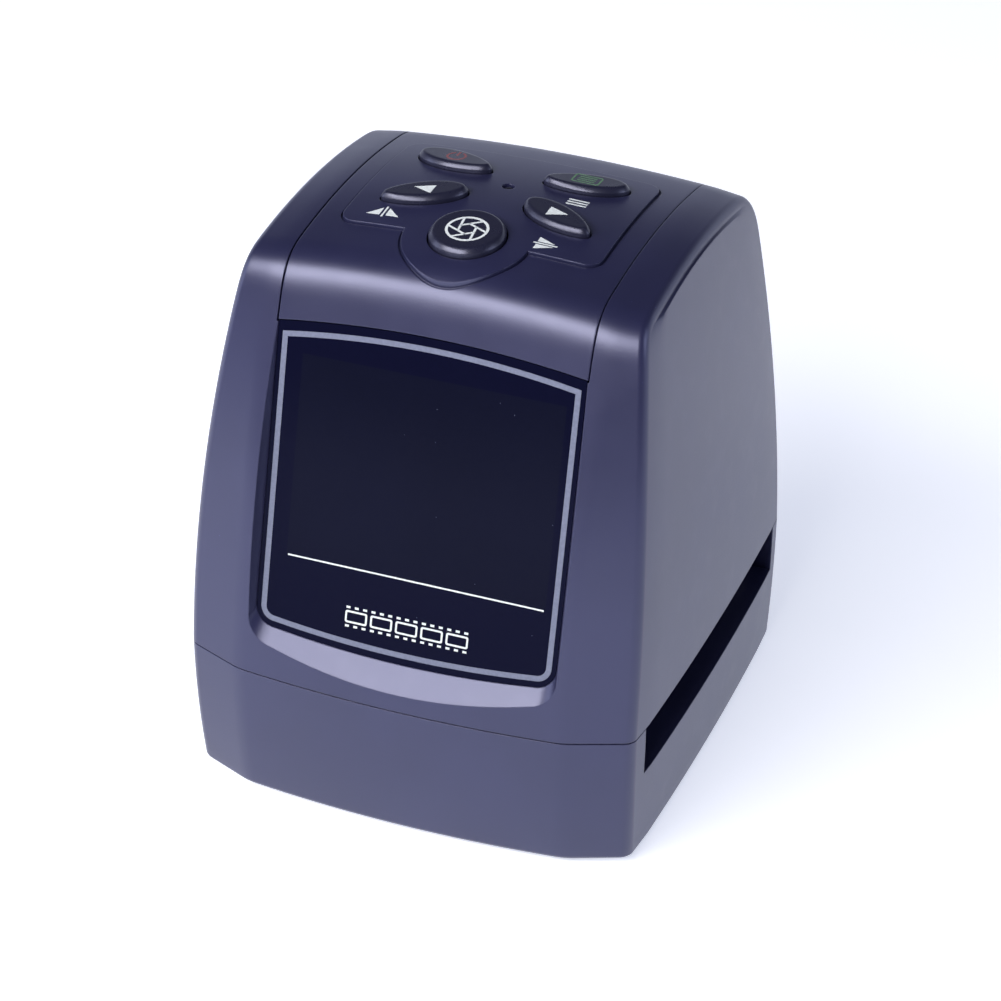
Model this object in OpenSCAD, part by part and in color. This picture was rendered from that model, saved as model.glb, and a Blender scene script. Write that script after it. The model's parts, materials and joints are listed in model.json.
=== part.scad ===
// Desktop film negative scanner: a film channel between a lit base and a camera
// housing with a leaning display window and five push buttons on its crown.
// Heights are measured from the underside of the base moulding and lifted by the
// feet at the end, so the feet stand on z = 0. X runs across, Y to the back.

/* [Case] */
// Width at the parting line, at the middle of the depth
body_w = 87.5; // [80:0.5:96]
// Depth at the parting line, on the centre line
body_d = 89.6; // [84:0.2:98]
// Height of the crown over the underside of the base
body_h = 104.7; // [98:0.1:115]
// Height of the parting line between base and housing
seam_z = 26.8; // [26:0.1:32]
// Radius of the barrel curve of the side walls, seen from the front
side_bow_r = 430; // [300:10:900]
// Radius of the same walls seen from above
side_plan_r = 890; // [600:10:2000]
// Wall thickness of the mouldings
wall = 2.2; // [1.8:0.1:2.6]
// Visible groove between base and housing
seam_gap = 0.4; // [0.2:0.1:0.8]
// Width of the corner facets at the parting line, from the crease to the side
corner_w = 12.75; // [11:0.05:13.4]
// Angle of the corner facets at the parting line
facet_low = 22.5; // [15:0.5:26]
// Angle of the corner facets beside the crown
facet_high = 10; // [5:0.5:14]
// Radius of the side edges
edge_r = 1.6; // [0.8:0.1:2.4]
// How far the front swells between the creases, at the parting line
front_swell = 1.95; // [1:0.05:2.4]
// How far the crown swells between the creases
crown_swell = 1.5; // [0.8:0.1:2]
// Radius of the crown seen from the side
crown_r = 140; // [120:5:220]
// Lean of the front above the parting line, as depth over height
front_lean = 0.135; // [0.1:0.005:0.16]
// Radius of the front seen from the side
front_r = 275; // [240:5:360]
// Lean of the back, as depth over height
rear_lean = 0.107; // [0.06:0.005:0.13]

/* [Top panel] */
// Width of the strip that wraps over the front and the crown
panel_w = 57.8; // [56:0.2:59]
// Thickness of the strip
panel_t = 1.8; // [1.4:0.1:2.2]
// Gap at the edges of the strip
panel_gap = 0.15; // [0.1:0.05:0.3]
// How far under the crown the strip meets the rear cover
panel_rear_drop = 14.2; // [13.9:0.1:16]
// Width of the raised button field
field_w = 48.4; // [44:0.2:50]
// Depth of the raised button field
field_d = 33.8; // [30:0.2:36]
// Height of the button field over the strip
field_h = 0.45; // [0.3:0.05:0.7]
// Radius of the round end of the field at the scan button
field_nose_r = 11.4; // [10:0.1:13]

/* [Display window] */
// Lean of the window from the vertical, in degrees
window_lean = 13.8; // [12.5:0.1:14.5]
// Width of the window
window_w = 57.2; // [56:0.2:58]
// Thickness of the window
window_t = 1.2; // [0.8:0.1:1.6]
// Radius of its lower corners
window_corner_r = 4; // [3:0.5:6]
// Rise of the arc of its upper and lower edges
window_arc = 2.0; // [1:0.1:3]
// Width of the picture area of the display
picture_w = 48.96; // [46:0.02:50]
// Height of the picture area of the display
picture_h = 36.72; // [34:0.02:38]
// Width of the display module
module_w = 56; // [54:0.5:58]
// Height of the display module
module_h = 44; // [42:0.5:46]

/* [Buttons] */
// Length of the leaf shaped buttons
leaf_l = 15.4; // [13:0.1:16.5]
// Width of the leaf shaped buttons
leaf_w = 6.8; // [5.5:0.1:8]
// Diameter of the scan button
scan_d = 13.6; // [12:0.1:15]
// How far a button stands over the field
button_rise = 1.5; // [1:0.1:2.2]
// Gap round a button in its hole
button_gap = 0.25; // [0.2:0.05:0.5]
// Travel of a button
button_travel = 0.5; // [0.3:0.1:0.6]
// Sideways place of the leaf shaped buttons
leaf_x = 12.5; // [12:0.1:13]

/* [Film channel] */
// Height of the channel floor
channel_floor = 17.1; // [16.5:0.1:18]
// How far the channel's ceiling lies over the parting line
ceiling_rise = 0.4; // [0.3:0.1:0.8]
// Room between the front of the case and the channel
front_room = 12.15; // [12:0.05:14]
// Room between the channel and the back of the case
rear_room = 5.05; // [4.9:0.05:7]
// Thickness of the channel floor
shelf_t = 1.6; // [1.2:0.1:2]
// Width of the picture aperture over the light
aperture_w = 40; // [37:0.5:42]
// Depth of the picture aperture over the light
aperture_d = 28; // [25:0.5:30]

/* [Optics] */
// How far the top of the camera hood lies under the crown
hood_drop = 42.7; // [42:0.1:44]
// Diameter of the lens barrel
barrel_d = 12; // [10:0.5:13]
// Length of the lens barrel
barrel_l = 10.5; // [9:0.5:11]

/* [Boards] */
// Thickness of every circuit board
board_t = 1.2; // [1:0.1:1.6]
// Thickness of the flat cables
cable_t = 0.5; // [0.4:0.1:0.8]

/* [Feet and screws] */
// Diameter of the rubber feet
foot_d = 9; // [7:0.5:11]
// How far the feet stand under the base
foot_h = 0.8; // [0.6:0.1:1.5]
// Diameter of the screw shanks
screw_d = 2.4; // [2:0.1:2.6]
// Diameter of the screw heads
screw_head_d = 4.4; // [4:0.1:5]

/* [Hidden] */
$fn = 48;

// Colours of the real finishes
satin_grey = [0.31, 0.31, 0.36];
gloss_black = [0.06, 0.06, 0.09];
button_black = [0.14, 0.14, 0.18];
inner_black = [0.09, 0.09, 0.10];
board_green = [0.08, 0.32, 0.18];
flex_amber = [0.72, 0.45, 0.16];
steel = [0.68, 0.69, 0.72];
opal = [0.93, 0.94, 0.95];
glass = [0.62, 0.72, 0.78];
rubber = [0.12, 0.12, 0.13];

// ---- Curves of the case ----
crease_x = body_w / 2 - corner_w;            // half width at which front and crown break back
fit = 0.15;                                  // clearance of a piece in its seat
through = 1;                                 // how far a cut runs past a face
housing_z = seam_z + seam_gap / 2;           // lowest edge of the housing
rim_z = seam_z - seam_gap / 2;               // highest edge of the base
rear_swell = 0.32;
rear_facet = 2;
crease_soft = 1.6;                           // half width of the softened crease
crease_front = -body_d / 2 + front_swell;
crease_rear = body_d / 2 - rear_swell;
base_front_r = 160;
base_rear_r = 900;
crease_crown_z = body_h - crown_swell;
blend_front_z = body_h - 10.7;
blend_rear_z = body_h - 13.7;
blend_front_pull = 0.75;
blend_rear_pull = 0.7;
crown_front_y = front_y(blend_front_z) + 8.44;   // where the front blend meets the crown
crown_rear_y = rear_y(blend_rear_z) - 9.58;      // where the rear blend meets the crown
crown_y = crown_front_y + 22;                    // highest line of the crown
column_n = 4;                                // columns of a side wall

function sag(r, d) = r - sqrt(r * r - d * d);
function mix(a, b, t) = a + (b - a) * t;
function side_x(y, z) = body_w / 2 - sag(side_bow_r, z - seam_z) - sag(side_plan_r, y);
function front_y(z) = z >= seam_z
    ? crease_front + front_lean * (z - seam_z) + sag(front_r, z - seam_z)
    : crease_front + sag(base_front_r, seam_z - z);
function rear_y(z) = z >= seam_z
    ? crease_rear - rear_lean * (z - seam_z)
    : crease_rear - sag(base_rear_r, seam_z - z);
function crown_z(y) = crease_crown_z - sag(crown_r, y - crown_y);
function top_z(x, y) = crown_z(y) + crown_swell * (1 - pow(x / crease_x, 2));
// Half width inside the side walls at a height, at the ends of the case, where it is least
function inner_x(z) = side_x(0.4 * body_d, z) - wall;
function unit(v) = v / norm(v);
function bezier(a, b, c, d, t) =
    a * pow(1 - t, 3) + 3 * b * t * pow(1 - t, 2) + 3 * c * t * t * (1 - t) + d * pow(t, 3);
// Point where the lines a + s u and b + s v cross
function crossing(a, u, b, v) =
    a + u * ((b[0] - a[0]) * v[1] - (b[1] - a[1]) * v[0]) / (u[0] * v[1] - u[1] * v[0]);

front_slope = front_lean + (blend_front_z - seam_z)
    / sqrt(front_r * front_r - pow(blend_front_z - seam_z, 2));
crown_slope_front = (crown_y - crown_front_y)
    / sqrt(crown_r * crown_r - pow(crown_y - crown_front_y, 2));
crown_slope_rear = (crown_rear_y - crown_y)
    / sqrt(crown_r * crown_r - pow(crown_rear_y - crown_y, 2));
front_a = [front_y(blend_front_z), blend_front_z];
front_b = [crown_front_y, crown_z(crown_front_y)];
front_c = crossing(front_a, [front_slope, 1], front_b, [1, crown_slope_front]);
rear_a = [crown_rear_y, crown_z(crown_rear_y)];
rear_b = [rear_y(blend_rear_z), blend_rear_z];
rear_c = crossing(rear_a, [1, -crown_slope_rear], rear_b, [rear_lean, -1]);

// The side view at the crease, from the front edge at z0 over the crown to the rear edge at z1
function side_profile(z0, front_n, blend_n, crown_n, rear_n, z1) = concat(
    [for (i = [0:front_n - 1]) let (z = mix(z0, blend_front_z, i / front_n)) [front_y(z), z]],
    [for (i = [0:blend_n - 1])
        bezier(front_a, mix(front_a, front_c, blend_front_pull),
               mix(front_b, front_c, blend_front_pull), front_b, i / blend_n)],
    [for (i = [0:crown_n - 1])
        let (y = mix(crown_front_y, crown_rear_y, i / crown_n)) [y, crown_z(y)]],
    [for (i = [0:blend_n - 1])
        bezier(rear_a, mix(rear_a, rear_c, blend_rear_pull),
               mix(rear_b, rear_c, blend_rear_pull), rear_b, i / blend_n)],
    [for (i = [0:rear_n]) let (z = mix(blend_rear_z, z1, i / rear_n)) [rear_y(z), z]]
);
// Outward directions along such a view; the two ends stay level
function outward(list) = [for (i = [0:len(list) - 1])
    i == 0 && list[i][1] == housing_z ? [-1, 0]
    : i == len(list) - 1 && list[i][1] == housing_z ? [1, 0]
    : let (t = unit(list[min(i + 1, len(list) - 1)] - list[max(i - 1, 0)])) [-t[1], t[0]]];

front_fade_h = 66;                           // height over which the swell of the front fades
function swell(n, z) = n[1] * n[1] * crown_swell
    + n[0] * n[0] * (n[0] > 0 ? rear_swell
        : front_swell * max(0.05, 1 - max(0, z - seam_z) / front_fade_h));
function facet(n, z) = n[1] * n[1] * facet_high
    + n[0] * n[0] * (n[0] > 0 ? rear_facet
        : mix(facet_low, facet_high, min(1, max(0, z - seam_z) / front_fade_h)));
// How far the surface stands out from the crease profile at a width x
function bulge(x, n, z) =
    let (s = swell(n, z), f = tan(facet(n, z)), d = abs(x) - crease_x,
         bend = f - 2 * s / crease_x,
         soft = max(0, crease_soft - abs(d)))
    (d <= 0 ? s * (1 - pow(x / crease_x, 2)) : -d * f) - bend * soft * soft / (4 * crease_soft);

// Stations across the case: [width, share of the way to the edge, angle round the edge]
half_stations = [
    [crease_x - crease_soft, 0, 0], [crease_x, 0, 0], [crease_x + crease_soft, 0, 0],
    [0, 1, 0], [0, 1, 45], [0, 1, 90]
];
inner_widths = [-20, -10, 0, 10, 20];
function reversed(list) = [for (i = [len(list) - 1:-1:0]) list[i]];
function mirrored(list) = [for (s = reversed(list)) [-s[0], -s[1], s[2]]];
stations = concat(mirrored(half_stations), [for (x = inner_widths) [x, 0, 0]], half_stations);
function station_x(s, edge) = s[1] == 0 ? s[0]
    : sign(s[1]) * (edge - edge_r * (1 - sin(s[2])));
function station_inset(s) = edge_r * (1 - cos(s[2]));

// A point of the housing's surface at a station
function skin_point(p, n, s) =
    let (x = station_x(s, side_x(p[0], p[1])), q = p + n * (bulge(x, n, p[1]) - station_inset(s)))
    [x, q[0], q[1]];

// The whole housing as one solid, from the parting line up
module housing_form() {
    line = side_profile(housing_z, 10, 7, 10, 10, housing_z);
    dirs = outward(line);
    m = len(line);
    k = len(stations);
    half = (m - 1) / 2;
    grid = [for (s = stations) for (j = [0:m - 1]) skin_point(line[j], dirs[j], s)];
    // Columns of the two side walls, each between a front point and the rear point beside it
    walls = [for (e = [0, k - 1]) for (j = [0:half - 1]) for (c = [1:column_n - 1])
        let (a = grid[e * m + j], b = grid[e * m + m - 1 - j], p = mix(a, b, c / column_n))
        [sign(a[0]) * side_x(p[1], p[2]), p[1], p[2]]];
    function g(s, j) = s * m + j;
    function w(e, j, c) = let (s = e == 0 ? 0 : k - 1)
        c == 0 ? g(s, j) : c == column_n ? g(s, m - 1 - j)
        : k * m + (e * half + j) * (column_n - 1) + c - 1;
    across = [for (s = [0:k - 2]) for (j = [0:m - 2]) for (t = [
        [g(s, j), g(s, j + 1), g(s + 1, j + 1)], [g(s, j), g(s + 1, j + 1), g(s + 1, j)]]) t];
    side_left = [for (j = [0:half - 2]) for (c = [0:column_n - 1]) for (t = [
        [w(0, j, c), w(0, j, c + 1), w(0, j + 1, c + 1)],
        [w(0, j, c), w(0, j + 1, c + 1), w(0, j + 1, c)]]) t];
    side_right = [for (j = [0:half - 2]) for (c = [0:column_n - 1]) for (t = [
        [w(1, j, c), w(1, j + 1, c + 1), w(1, j, c + 1)],
        [w(1, j, c), w(1, j + 1, c), w(1, j + 1, c + 1)]]) t];
    peak_left = [for (c = [0:column_n - 1]) [w(0, half - 1, c), w(0, half - 1, c + 1), g(0, half)]];
    peak_right = [for (c = [0:column_n - 1])
        [w(1, half - 1, c), g(k - 1, half), w(1, half - 1, c + 1)]];
    under = concat([for (s = [0:k - 1]) g(s, 0)], [for (c = [1:column_n - 1]) w(1, 0, c)],
                   [for (s = [k - 1:-1:0]) g(s, m - 1)], [for (c = [column_n - 1:-1:1]) w(0, 0, c)]);
    polyhedron(points = concat(grid, walls),
        faces = concat(across, side_left, side_right, peak_left, peak_right, [under]), convexity = 8);
}

// A strip of the housing's skin, t thick, over a part of the side view and between two widths
module skin_strip(line, widths, t, lift = 0) {
    dirs = outward(line);
    m = len(line);
    k = len(widths);
    function layer(d) = [for (x = widths) for (j = [0:m - 1])
        let (q = line[j] + dirs[j] * (bulge(x, dirs[j], line[j][1]) - d)) [x, q[0], q[1]]];
    function o(s, j) = s * m + j;
    function i(s, j) = k * m + s * m + j;
    outer = [for (s = [0:k - 2]) for (j = [0:m - 2]) for (f = [
        [o(s, j), o(s, j + 1), o(s + 1, j + 1)], [o(s, j), o(s + 1, j + 1), o(s + 1, j)]]) f];
    inner = [for (s = [0:k - 2]) for (j = [0:m - 2]) for (f = [
        [i(s, j), i(s + 1, j + 1), i(s, j + 1)], [i(s, j), i(s + 1, j), i(s + 1, j + 1)]]) f];
    ends = [for (j = [0:m - 2]) for (f = [
        [o(0, j), i(0, j + 1), o(0, j + 1)], [o(0, j), i(0, j), i(0, j + 1)],
        [o(k - 1, j), o(k - 1, j + 1), i(k - 1, j + 1)],
        [o(k - 1, j), i(k - 1, j + 1), i(k - 1, j)]]) f];
    rims = [for (s = [0:k - 2]) for (f = [
        [o(s, 0), o(s + 1, 0), i(s + 1, 0)], [o(s, 0), i(s + 1, 0), i(s, 0)],
        [o(s, m - 1), i(s + 1, m - 1), o(s + 1, m - 1)],
        [o(s, m - 1), i(s, m - 1), i(s + 1, m - 1)]]) f];
    polyhedron(points = concat(layer(-lift), layer(t)),
        faces = concat(outer, inner, ends, rims), convexity = 8);
}

// Plan outline of the case at a height, drawn in by an inset
function outline(z, inset) =
    let (f = front_y(z), r = rear_y(z), n = [-1, 0], m = [1, 0],
         front = [for (s = stations) let (x = station_x(s, side_x(f, z)))
             [x - sign(x) * min(inset, abs(x)) * (s[1] == 0 ? 0 : 1),
              f - bulge(x, n, z) + station_inset(s) + inset]],
         rear = [for (s = reversed(stations)) let (x = station_x(s, side_x(r, z)))
             [x - sign(x) * min(inset, abs(x)) * (s[1] == 0 ? 0 : 1),
              r + bulge(x, m, z) - station_inset(s) - inset]],
         e = len(front) - 1)
    concat(front,
        [for (c = [1:column_n - 1]) let (y = mix(front[e][1], rear[0][1], c / column_n))
            [side_x(y, z) - inset, y]],
        rear,
        [for (c = [1:column_n - 1]) let (y = mix(rear[e][1], front[0][1], c / column_n))
            [inset - side_x(y, z), y]]);

module ring_loft(rings) {
    n = len(rings[0]);
    m = len(rings);
    polyhedron(points = [for (r = rings) each r],
        faces = concat(
            [for (i = [0:m - 2]) for (j = [0:n - 1]) let (a = i * n + j, b = i * n + (j + 1) % n)
                for (f = [[a, b + n, b], [a, a + n, b + n]]) f],
            [[for (j = [0:n - 1]) j]], [[for (j = [n - 1:-1:0]) (m - 1) * n + j]]),
        convexity = 8);
}

module lifted() { translate([0, 0, foot_h]) children(); }
module box(w, d, z0, z1) { translate([-w / 2, -d / 2, z0]) cube([w, d, z1 - z0]); }
module post(x, y, r, z0, z1) { translate([x, y, z0]) cylinder(r = r, h = z1 - z0); }
module both_sides() { children(); mirror([1, 0, 0]) children(); }

// ---- Window frame: x across, y inwards, z up along the pane ----
window_ref_z = body_h - 16.3;                // where the pane meets the crease profile
window_ref_y = front_y(window_ref_z) + 0.35;
pane_top = 1.85;                             // upper corners of the pane
pane_foot = 8.2;                             // lower corners of the pane over the parting line
pane_bottom = (seam_z + pane_foot - window_ref_z) / cos(window_lean);
picture_x = 0.9;                             // the picture sits a little to the right
picture_share = 0.258;                       // part of the spare height that lies over the picture
picture_z = pane_top - (pane_top - pane_bottom - picture_h) * picture_share - picture_h / 2;
slab_t = 1.8;                                // wall behind the pane
slab_back = window_t + slab_t;
recess_depth = 8;                            // how far the cut reaches outwards
ledge_flare = 1.72;                          // slope of the ledge under the pane
side_flare = 0.42;                           // slope of the sides of the recess

module in_window() {
    translate([0, window_ref_y, window_ref_z]) rotate([-window_lean, 0, 0]) children();
}
function world_of(p) = [
    window_ref_y + p[0] * cos(window_lean) + p[1] * sin(window_lean),
    window_ref_z + p[1] * cos(window_lean) - p[0] * sin(window_lean)];
function arc_rise(x, w) = window_arc * (1 - pow(2 * x / w, 2));
// Outline of the pane; grow widens it at the sides, drop lowers its lower edge
function pane_outline(grow, drop) =
    let (w = window_w + 2 * grow, r = window_corner_r + grow, h = w / 2, s = h - r,
         low = pane_bottom - drop, n = 12)
    concat(
        [for (i = [0:n]) let (x = mix(-h, h, i / n)) [x, pane_top + arc_rise(x, w)]],
        [for (a = [0:15:90]) [s + r * cos(a), low + r - r * sin(a)]],
        [for (i = [1:n - 1]) let (x = mix(s, -s, i / n))
            [x, low - 0.8 * window_arc * (1 - pow(x / s, 2))]],
        [for (a = [90:-15:0]) [-s - r * cos(a), low + r - r * sin(a)]]);
module pane_plate(grow, drop, y0, y1) {
    translate([0, y1, 0]) rotate([90, 0, 0]) linear_extrude(y1 - y0) polygon(pane_outline(grow, drop));
}
module window_recess() {
    in_window() {
        pane_plate(0, 0, -0.01, window_t);
        hull() {
            pane_plate(0, 0, -0.01, 0);
            pane_plate(side_flare * recess_depth, ledge_flare * recess_depth,
                       -recess_depth, 0.01 - recess_depth);
        }
    }
}

// ---- Places ----
panel_rear_z = body_h - panel_rear_drop;
channel_ceiling = seam_z + ceiling_rise;
channel_front = front_room - body_d / 2;
channel_rear = body_d / 2 - rear_room;
channel_y = (channel_front + channel_rear) / 2;
channel_d = channel_rear - channel_front;
channel_wall = 1;
shelf_z = channel_floor - shelf_t;
cover_z0 = 0.3;
cover_z1 = 2.1;
foot_sink = 0.6;
foot_x = inner_x(0) - 6;
feet = [for (x = [-foot_x, foot_x]) for (y = [channel_front + 5.65, channel_rear - 5.75]) [x, y]];
cover_posts = [for (x = [-foot_x, foot_x]) for (y = [-18, 18]) [x, channel_y + y]];
case_posts = [for (x = [-29.5, 29.5]) [x, channel_front - 4.2]];
case_post_r = 3.2;
case_head_z = 14;                            // seat of the long case screws
screw_r = screw_d / 2;
pilot_r = screw_r + 0.05;
head_r = screw_head_d / 2;
head_h = 1.4;
chassis_t = 2.2;
chassis_z1 = channel_ceiling + chassis_t;
cavity_side = inner_x(housing_z);
chassis_post_r = 3.4;
chassis_post_x = cavity_side - 3.1;
chassis_posts = [for (x = [-chassis_post_x, chassis_post_x])
    for (y = [channel_front + 13.65, channel_rear - 9.75]) [x, y]];
case_screw_l = chassis_z1 + 6.6 - case_head_z;
small_r = 0.9;                               // shank of the small board screws
small_head_r = 1.7;
small_head_h = 1.1;

// ---- Base ----
base_inset = wall;
lip_t = 1;
edge_round = 1.2;
module base_form() {
    levels = [[0, edge_round], [0.35, edge_round * 0.3], [edge_round, 0], [7, 0], [13, 0], [20, 0],
              [rim_z, 0]];
    ring_loft([for (l = levels) [for (p = outline(l[0], l[1])) [p[0], p[1], l[0]]]]);
}
module bay(inset, z0, z1) {
    translate([0, 0, z0]) linear_extrude(z1 - z0) polygon(outline(min(z0 + 4, rim_z), inset));
}
module channel_space(z1) {
    translate([0, channel_y, 0]) box(body_w + 20, channel_d, channel_floor, z1);
}
module base_shell() lifted() color(satin_grey) difference() {
    union() {
        difference() {
            union() {
                base_form();
                bay(wall - lip_t, rim_z - 4, housing_z);
            }
            bay(base_inset, -through, shelf_z);
            // Bays in front of and behind the channel
            intersection() {
                bay(base_inset, shelf_z - 0.01, housing_z + through);
                union() {
                    translate([0, channel_front - channel_wall - 25, 0])
                        box(body_w + 20, 50, 0, housing_z + 2);
                    translate([0, channel_rear + channel_wall + 25, 0])
                        box(body_w + 20, 50, 0, housing_z + 2);
                }
            }
        }
        for (p = case_posts) post(p[0], p[1], case_post_r, cover_z0, channel_ceiling);
        for (p = cover_posts) post(p[0], p[1], 3.2, cover_z1, shelf_z + 0.2);
        for (p = light_posts) post(p[0], p[1], 2.4, light_ear_z1, shelf_z + 0.2);
        // Hooks that hold the back of the housing
        for (x = [-16, 16]) translate([x, hook_y, 0]) {
            box(hook_w, hook_t, shelf_z - 2, housing_z + 3.4);
            translate([0, hook_t / 2, 0]) box(hook_w, 2, shelf_z - 2, rim_z - 1.5);
            translate([0, 0, housing_z + 2]) rotate([90, 0, 90]) linear_extrude(hook_w, center = true)
                polygon([[0, 0], [hook_t / 2 + hook_catch, 0.6], [0, 1.2]]);
        }
    }
    channel_space(housing_z + 2);
    translate([0, channel_y, 0]) box(aperture_w, aperture_d, shelf_z - through, channel_floor + through);
    for (p = case_posts) {
        post(p[0], p[1], head_r + 0.3, 0, case_head_z);
        post(p[0], p[1], screw_r + 0.15, 0, housing_z + 2);
    }
    for (p = cover_posts) post(p[0], p[1], pilot_r, 0, shelf_z - 3);
    for (p = light_posts) post(p[0], p[1], small_r + 0.05, 0, shelf_z + 0.6);
}
hook_w = 8;
hook_t = 1;
hook_catch = 0.35;
hook_y = rear_y(housing_z) - max(wall, panel_t + 0.3) - hook_t / 2 - fit;

module bottom_cover() lifted() color(satin_grey) difference() {
    translate([0, 0, cover_z0]) linear_extrude(cover_z1 - cover_z0)
        polygon(outline(1, wall + fit));
    for (p = feet) post(p[0], p[1], foot_d / 2 + 0.1, 0, cover_z0 + foot_sink);
    for (p = cover_posts) {
        post(p[0], p[1], screw_r + 0.15, 0, cover_z1 + through);
        post(p[0], p[1], head_r + 0.2, 0, cover_z0 + 1.1);
    }
    for (p = case_posts) post(p[0], p[1], case_post_r + fit, 0, cover_z1 + through);
    // Cooling slots under the light
    for (i = [-2.5:2.5]) translate([i * light_w / 8, channel_y, 0])
        box(2, light_d / 2, 0, cover_z1 + through);
}
module rubber_feet() lifted() color(rubber) for (p = feet) {
    translate([p[0], p[1], -foot_h]) rotate_extrude() polygon([
        [0, 0], [foot_d / 2 - 0.5, 0], [foot_d / 2, 0.5], [foot_d / 2, foot_h + cover_z0 + foot_sink],
        [0, foot_h + cover_z0 + foot_sink]]);
}
// A screw that points up: its head under z, its shank l long over it, with a cross recess
module screw_up(x, y, z, r, l, hr, hh) translate([x, y, z]) difference() {
    union() {
        translate([0, 0, -hh]) cylinder(r = hr, h = hh);
        cylinder(r = r, h = l);
    }
    for (a = [0, 90]) rotate(a) translate([-hr * 0.6, -hr * 0.13, -hh - 0.1])
        cube([hr * 1.2, hr * 0.26, hh * 0.6]);
}
module cover_screws() lifted() color(steel)
    for (p = cover_posts) screw_up(p[0], p[1], cover_z0 + 1.1, screw_r, 9, head_r, 1);
module housing_screws() lifted() color(steel)
    for (p = case_posts) screw_up(p[0], p[1], case_head_z, screw_r, case_screw_l, head_r, head_h);

// ---- Light under the film ----
light_w = 48;
light_d = 36;
light_z0 = 4;
light_z1 = 14;
light_wall = 2;
light_ear_z1 = light_z1;
light_posts = [for (x = [-28, 28]) [x, channel_y]];
diffuser_z0 = light_z1;
module backlight_housing() lifted() color(opal) difference() {
    translate([0, channel_y, 0]) union() {
        box(light_w, light_d, light_z0, light_z1);
        box(light_w + 16, 8, light_ear_z1 - 1.6, light_ear_z1);
    }
    translate([0, channel_y, 0])
        box(light_w - 2 * light_wall, light_d - 2 * light_wall, light_z0 + 1.4, light_z1 + through);
    for (p = light_posts) post(p[0], p[1], small_r + 0.15, 0, light_z1 + through);
}
module backlight_board() lifted() color(board_green) translate([0, channel_y, 0])
    box(light_w - 2 * light_wall - 2 * fit, light_d - 2 * light_wall - 2 * fit,
        light_z0 + 1.4, light_z0 + 1.4 + board_t);
module backlight_leds() lifted() color(opal) for (x = [-15, -5, 5, 15]) for (y = [-9, 0, 9])
    translate([x, channel_y + y, 0]) box(3, 2, light_z0 + 1.4 + board_t, light_z0 + 2.2 + board_t);
module diffuser_plate() lifted() color(opal) translate([0, channel_y, 0])
    box(light_w - 1, light_d - 1, diffuser_z0, shelf_z);
module backlight_screws() lifted() color(steel) for (p = light_posts)
    screw_up(p[0], p[1], light_ear_z1 - 1.6, small_r, 2.6, small_head_r, small_head_h);
// Leaf springs that click into the film holder's edge
spring_l = 14;
spring_rise = 0.8;
spring_t = 0.3;
module detent_springs() lifted() color(steel) for (x = [-31, 31])
    translate([x, channel_rear, channel_floor + 3]) linear_extrude(4) polygon(concat(
        [for (i = [0:8]) let (u = i / 4 - 1) [u * spring_l / 2, -spring_rise * (1 - u * u) - 0.01]],
        [for (i = [8:-1:0]) let (u = i / 4 - 1)
            [u * spring_l / 2, -spring_rise * (1 - u * u) - spring_t - 0.01]]));

// ---- Camera over the film ----
cavity_rear = rear_y(housing_z) - wall - 1.2;
cavity_front = crease_front + 4.25;
cavity_chamfer = [6.8, 6.5];
function cavity_plan(g) = [
    [-cavity_side + g, cavity_rear - g], [-cavity_side + g, cavity_front + cavity_chamfer[0] + g],
    [-cavity_side + cavity_chamfer[1] + g, cavity_front + g],
    [cavity_side - cavity_chamfer[1] - g, cavity_front + g],
    [cavity_side - g, cavity_front + cavity_chamfer[0] + g], [cavity_side - g, cavity_rear - g]];
cable_y = channel_front - 3.15;
cable_w = 5;
module camera_chassis() lifted() color(inner_black) difference() {
    translate([0, 0, channel_ceiling]) linear_extrude(chassis_t) polygon(cavity_plan(fit));
    translate([0, channel_y, 0]) box(aperture_w, aperture_d, 0, chassis_z1 + through);
    for (p = chassis_posts) {
        post(p[0], p[1], screw_r + 0.15, 0, chassis_z1 + through);
        post(p[0], p[1], head_r + 0.2, 0, channel_ceiling + head_h);
    }
    for (p = case_posts) post(p[0], p[1], screw_r + 0.3, 0, chassis_z1 + through);
    for (p = hood_posts) post(p[0], p[1], pilot_r, channel_ceiling + 0.5, chassis_z1 + through);
    translate([0, cable_y, 0]) box(cable_w + 2, cable_t + 1.6, 0, chassis_z1 + through);
}
module chassis_screws() lifted() color(steel) for (p = chassis_posts)
    screw_up(p[0], p[1], channel_ceiling + head_h, screw_r, 9, head_r, head_h - 0.1);
hood_top = body_h - hood_drop;
hood_flange_t = 1.6;
hood_w = aperture_w + 6;
hood_d = aperture_d + 6;
hood_neck = 17;
hood_posts = [for (x = [-1, 1] * (hood_w / 2 + 2.8)) for (y = [-13, 13]) [x, channel_y + y]];
sensor_posts = [for (x = [-12.5, 12.5]) [x, channel_y]];
holder_w = 17;
holder_z1 = hood_top + 11.5;
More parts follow.
